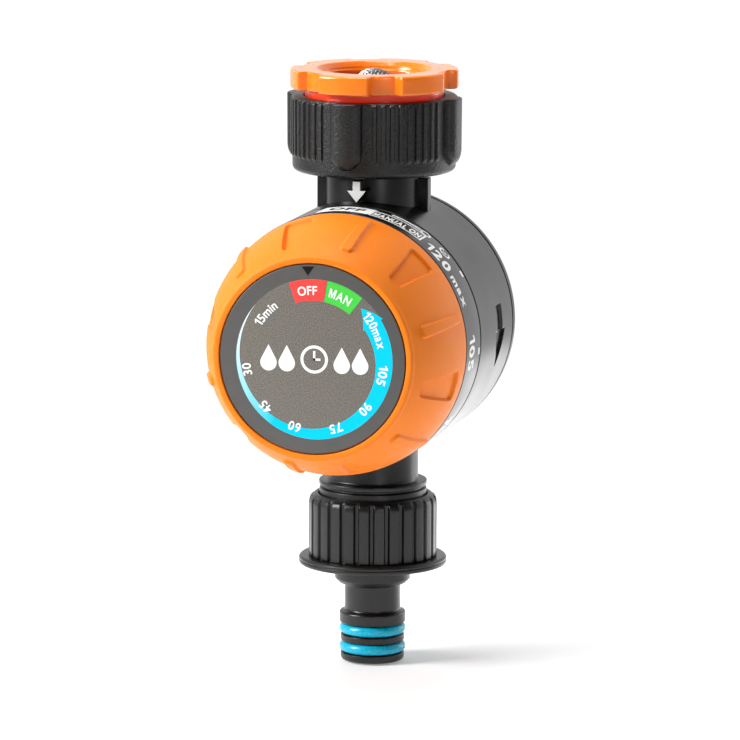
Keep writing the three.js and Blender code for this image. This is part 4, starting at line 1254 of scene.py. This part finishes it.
def build_filter():
    """Woven wire pressed into a thimble: two sets of wires that pass over and under. A dark grey shell just
    inside the wires is painted shade, standing in for the dark hollow of the thimble.
    """
    low, high = box_mm("filter_screen")
    pitch, wire, dome, shade_shell_radius = 0.78, 0.12, 5.4, 5.1
    straight = high[2] - 0.15 - dome
    count = int(dome / pitch)
    all_points, all_faces, start = [], [], 0
    for axis in (0, 1):
        for k in range(-count, count + 1):
            offset = k * pitch
            reach = math.sqrt(max(dome ** 2 - offset ** 2, 0.05))
            span = np.linspace(-math.pi / 2, math.pi / 2, 61)
            along = reach * np.sin(span)
            height = straight + np.sqrt(np.maximum(dome ** 2 - offset ** 2 - along ** 2, 0))
            weave = 0.09 * np.cos(math.pi * (along / pitch + k + axis))
            scale = 1 + weave / dome
            beside = np.full_like(along, offset) * scale
            line = np.stack([along * scale, beside, height + weave * 0.8], axis=1)
            if axis:
                line = line[:, [1, 0, 2]]
            bottom = np.array([[line[-1][0], line[-1][1], low[2] + 0.4]])
            top = np.array([[line[0][0], line[0][1], low[2] + 0.4]])
            line = np.concatenate([top, line, bottom])
            points, faces = tube_along(line, wire, 6)
            all_points.append(points)
            all_faces += [[v + start for v in face] for face in faces]
            start += len(points)
    piece = to_object("filter_weave", mesh_from(np.concatenate(all_points), all_faces))
    finish_piece(piece, "tap_adaptor", STEEL, ["filter_screen"])
    # Painted shade: a dark grey shell under the weave stands in for the shaded hollow inside the thimble.
    foot = low[2] + 0.7
    turns = np.linspace(0, math.pi / 2, 24)[:-1]
    crown = [(shade_shell_radius * math.cos(a), straight + shade_shell_radius * math.sin(a)) for a in turns]
    inside = [(0, straight + 4.95), (4.95, straight), (4.95, foot)]
    shade_shell_profile = [(shade_shell_radius, foot)] + crown + [(0, straight + shade_shell_radius)] + inside
    piece = grid_piece("filter_painted_shade", spin_z(np.array(shade_shell_profile), 96))
    finish_piece(piece, "tap_adaptor", FILTER_SHADE_SHELL)
    brim = rounded_profile([(4.9, low[2], 0.1), (11.4, low[2], 0.2), (11.4, low[2] + 0.6, 0.2),
                            (5.7, low[2] + 0.6, 0.2), (5.5, low[2] + 1.6, 0.1), (5.2, low[2] + 1.6, 0.1)])
    piece = grid_piece("filter_brim", spin_z(brim, 144))
    finish_piece(piece, "tap_adaptor", STEEL)


build_adaptor()
build_washer("filter_washer", WATERWAY_RADIUS, 12.0)
build_filter()

# ---------- outlet connector

CONNECTOR_RIBS = 26
CONNECTOR_RIB = 0.75
CONNECTOR_ROOT = 14.65
CONNECTOR_HEIGHT = 15.2
CONNECTOR_BORE = 13.2
FLANGE_RADIUS = 17.8
SHOULDER_RADIUS = 9.17
SPIGOT_NECK = 6.7
SPIGOT_RADIUS = 7.95
SPIGOT_RIB_RADIUS = 7.65
SPIGOT_BORE = 4.0
GROOVE_FLOOR = 5.1
GROOVE_HALF = 1.48
RING_SECTION = 1.3


def ring_level(name):
    low, high = box_mm(f"spigot_ring_{name}")
    return (low[2] + high[2]) / 2


def connector_change(radius, height, angle):
    top, base = CONNECTOR_TOP, CONNECTOR_TOP - CONNECTOR_HEIGHT
    window = smoothstep(0.3, 1.1, top - height) * smoothstep(-0.05, 0.25, height - base)
    on_outside = smoothstep(13.9, 14.4, radius) * smoothstep(15.2, 14.9, radius)
    in_pitch = np.abs(nearest_of(angle, CONNECTOR_RIBS, 0.0)) / (180 / CONNECTOR_RIBS)
    rib = smoothstep(0.82, 0.6, in_pitch)
    rise = 1 - 0.35 * smoothstep(2.2, 0.6, top - height)
    return CONNECTOR_RIB * rib * window * on_outside * rise


def build_connector():
    end = SPIGOT_END
    base = CONNECTOR_TOP - CONNECTOR_HEIGHT
    seat = OUTLET_END - 3.1
    lower, upper = ring_level("lower"), ring_level("upper")
    profile = rounded_profile([
        (SPIGOT_BORE, end, 0.4),
        (SPIGOT_RIB_RADIUS, end, 0.95),
        (SPIGOT_RIB_RADIUS, lower - GROOVE_HALF, 0.12),
        (GROOVE_FLOOR, lower - GROOVE_HALF, 0.1),
        (GROOVE_FLOOR, lower + GROOVE_HALF, 0.1),
        (SPIGOT_RIB_RADIUS, lower + GROOVE_HALF, 0.15),
        (SPIGOT_RIB_RADIUS, upper - GROOVE_HALF, 0.15),
        (GROOVE_FLOOR, upper - GROOVE_HALF, 0.1),
        (GROOVE_FLOOR, upper + GROOVE_HALF, 0.1),
        (SPIGOT_RADIUS, upper + GROOVE_HALF, 0.3),
        (SPIGOT_RADIUS, end + 12.0, 0.45),
        (SPIGOT_NECK, end + 12.35, 0.5),
        (SPIGOT_NECK, end + 18.7, 0.6),
        (8.1, end + 19.1, 0.3),
        (SHOULDER_RADIUS, end + 20.2, 0.4),
        (SHOULDER_RADIUS, end + 23.45, 0.2),
        (9.6, end + 23.75, 0.1),
        (17.4, end + 23.75, 0.25),
        (FLANGE_RADIUS, end + 24.15, 0.2),
        (FLANGE_RADIUS, end + 24.65, 0.12),
        (17.55, end + 24.78, 0.08),
        (FLANGE_RADIUS, end + 24.92, 0.12),
        (FLANGE_RADIUS, end + 25.35, 0.2),
        (17.4, end + 25.8, 0.3),
        (CONNECTOR_ROOT, base, 0.25),
        (CONNECTOR_ROOT, CONNECTOR_TOP - 0.75, 0.4),
        (14.0, CONNECTOR_TOP, 0.3),
        (CONNECTOR_BORE, CONNECTOR_TOP, 0.25),
        (CONNECTOR_BORE, seat, 0.3),
        (SPIGOT_BORE, seat, 0.5),
    ], steps=4)
    points = spin_z(dense(profile, 0.4), CONNECTOR_RIBS * 36, connector_change)
    piece = grid_piece("hose_connector", points, smooth_angle=50.0)
    finish_piece(piece, "outlet_connector", BLACK_MATT, ["outlet_connector"])


def build_spigot_rings():
    angles = around(24)
    for name in ("lower", "upper"):
        node = f"spigot_ring_{name}"
        centre = box_mm(node)[1][0] - RING_SECTION
        radii = centre + RING_SECTION * np.cos(angles)
        heights = ring_level(name) + RING_SECTION * np.sin(angles)
        piece = grid_piece(f"o_ring_{name}", spin_z(np.stack([radii, heights], axis=1), 180))
        finish_piece(piece, "outlet_connector", BLUE_RUBBER, [node])


build_connector()
build_spigot_rings()

# ---------- floor and light

FLOOR_SIZE = 1.0
FLOOR_GLOW = 0.25
FLOOR_SOLID, FLOOR_GONE = 0.25, 0.4  # distances from the axis where the fade starts and ends
WORLD_FRONT = 0.05
WORLD_BACK = 0.9
WORLD_LOWER = 0.8
WORLD_SEEN = 1.05


def add_floor():
    """White paper under the part that fades into the white surroundings."""
    mesh = bpy.data.meshes.new("floor")
    half = FLOOR_SIZE / 2
    level = CAD_BOX[0][2] - 0.0003
    corners = [(-half, -half, level), (half, -half, level), (half, half, level), (-half, half, level)]
    mesh.from_pydata(corners, [], [(0, 1, 2, 3)])
    floor = bpy.data.objects.new("floor", mesh)
    SCENE.collection.objects.link(floor)
    shader = Shader("floor_paper", linear(236, 236, 236), 0.9, Specular_IOR_Level=0.1,
                    Emission_Color=(1, 1, 1, 1), Emission_Strength=FLOOR_GLOW)
    shader.vary_color(shader.noise(60.0, 2.0), linear(235, 235, 235), linear(238, 238, 238))
    split = shader.split_place()
    square = shader.math("ADD", shader.math("POWER", shader.math("ABSOLUTE", split.outputs["X"]), 2.0),
                         shader.math("POWER", shader.math("ABSOLUTE", split.outputs["Y"]), 2.0))
    fade = map_range(shader.tree, shader.math("SQRT", square), FLOOR_SOLID, FLOOR_GONE, 1.0, 0.0)
    shader.tree.links.new(fade.outputs["Result"], shader.bsdf.inputs["Alpha"])
    mesh.materials.append(shader.material)


def add_light(name, place, aim, size, power):
    lamp = bpy.data.lights.new(name, "AREA")
    lamp.shape = "RECTANGLE"
    lamp.size, lamp.size_y = size
    lamp.energy = power
    light = bpy.data.objects.new(name, lamp)
    light.location = place
    light.visible_camera = False
    light.rotation_euler = (Vector(aim) - Vector(place)).to_track_quat("-Z", "Y").to_euler()
    SCENE.collection.objects.link(light)


def add_world():
    """White to the camera; as a light, bright behind and below and dim on the dial side."""
    world = bpy.data.worlds.new("studio")
    world.use_nodes = True
    SCENE.world = world
    tree = world.node_tree
    background = tree.nodes["Background"]
    background.inputs["Color"].default_value = (1, 1, 1, 1)
    place = tree.nodes.new("ShaderNodeTexCoord")
    split = tree.nodes.new("ShaderNodeSeparateXYZ")
    tree.links.new(place.outputs["Generated"], split.inputs[0])
    gradient = map_range(tree, split.outputs["Y"], -0.35, 0.75, WORLD_FRONT, WORLD_BACK)
    gradient.interpolation_type = "SMOOTHSTEP"
    lower = map_range(tree, split.outputs["Z"], 0.05, -0.25, 0.0, WORLD_LOWER)
    brighter = tree.nodes.new("ShaderNodeMath")
    brighter.operation = "MAXIMUM"
    tree.links.new(gradient.outputs["Result"], brighter.inputs[0])
    tree.links.new(lower.outputs["Result"], brighter.inputs[1])
    path = tree.nodes.new("ShaderNodeLightPath")
    strength = map_range(tree, path.outputs["Is Camera Ray"], 0.0, 1.0, 0.0, WORLD_SEEN)
    tree.links.new(brighter.outputs[0], strength.inputs["To Min"])
    tree.links.new(strength.outputs["Result"], background.inputs["Strength"])


add_floor()
add_world()
add_light("key", (-0.95, -0.6, 0.5), (0, -0.02, -0.06), (0.45, 0.7), 21.0)
add_light("side", (0.8, 0.9, -0.05), (0, 0, -0.06), (0.3, 0.9), 2.5)
add_light("top", (-0.15, -0.05, 0.95), (0, 0, -0.06), (0.6, 0.6), 8.0)
add_light("fill", (0.7, -1.1, 0.1), (0, 0, -0.06), (0.3, 0.3), 1.2)
add_light("bounce", (0.03, 0.2, CAD_BOX[0][2] + 0.001), (0.03, 0.2, 0), (0.3, 0.25), 0.28)

SCENE.view_settings.view_transform = "Standard"
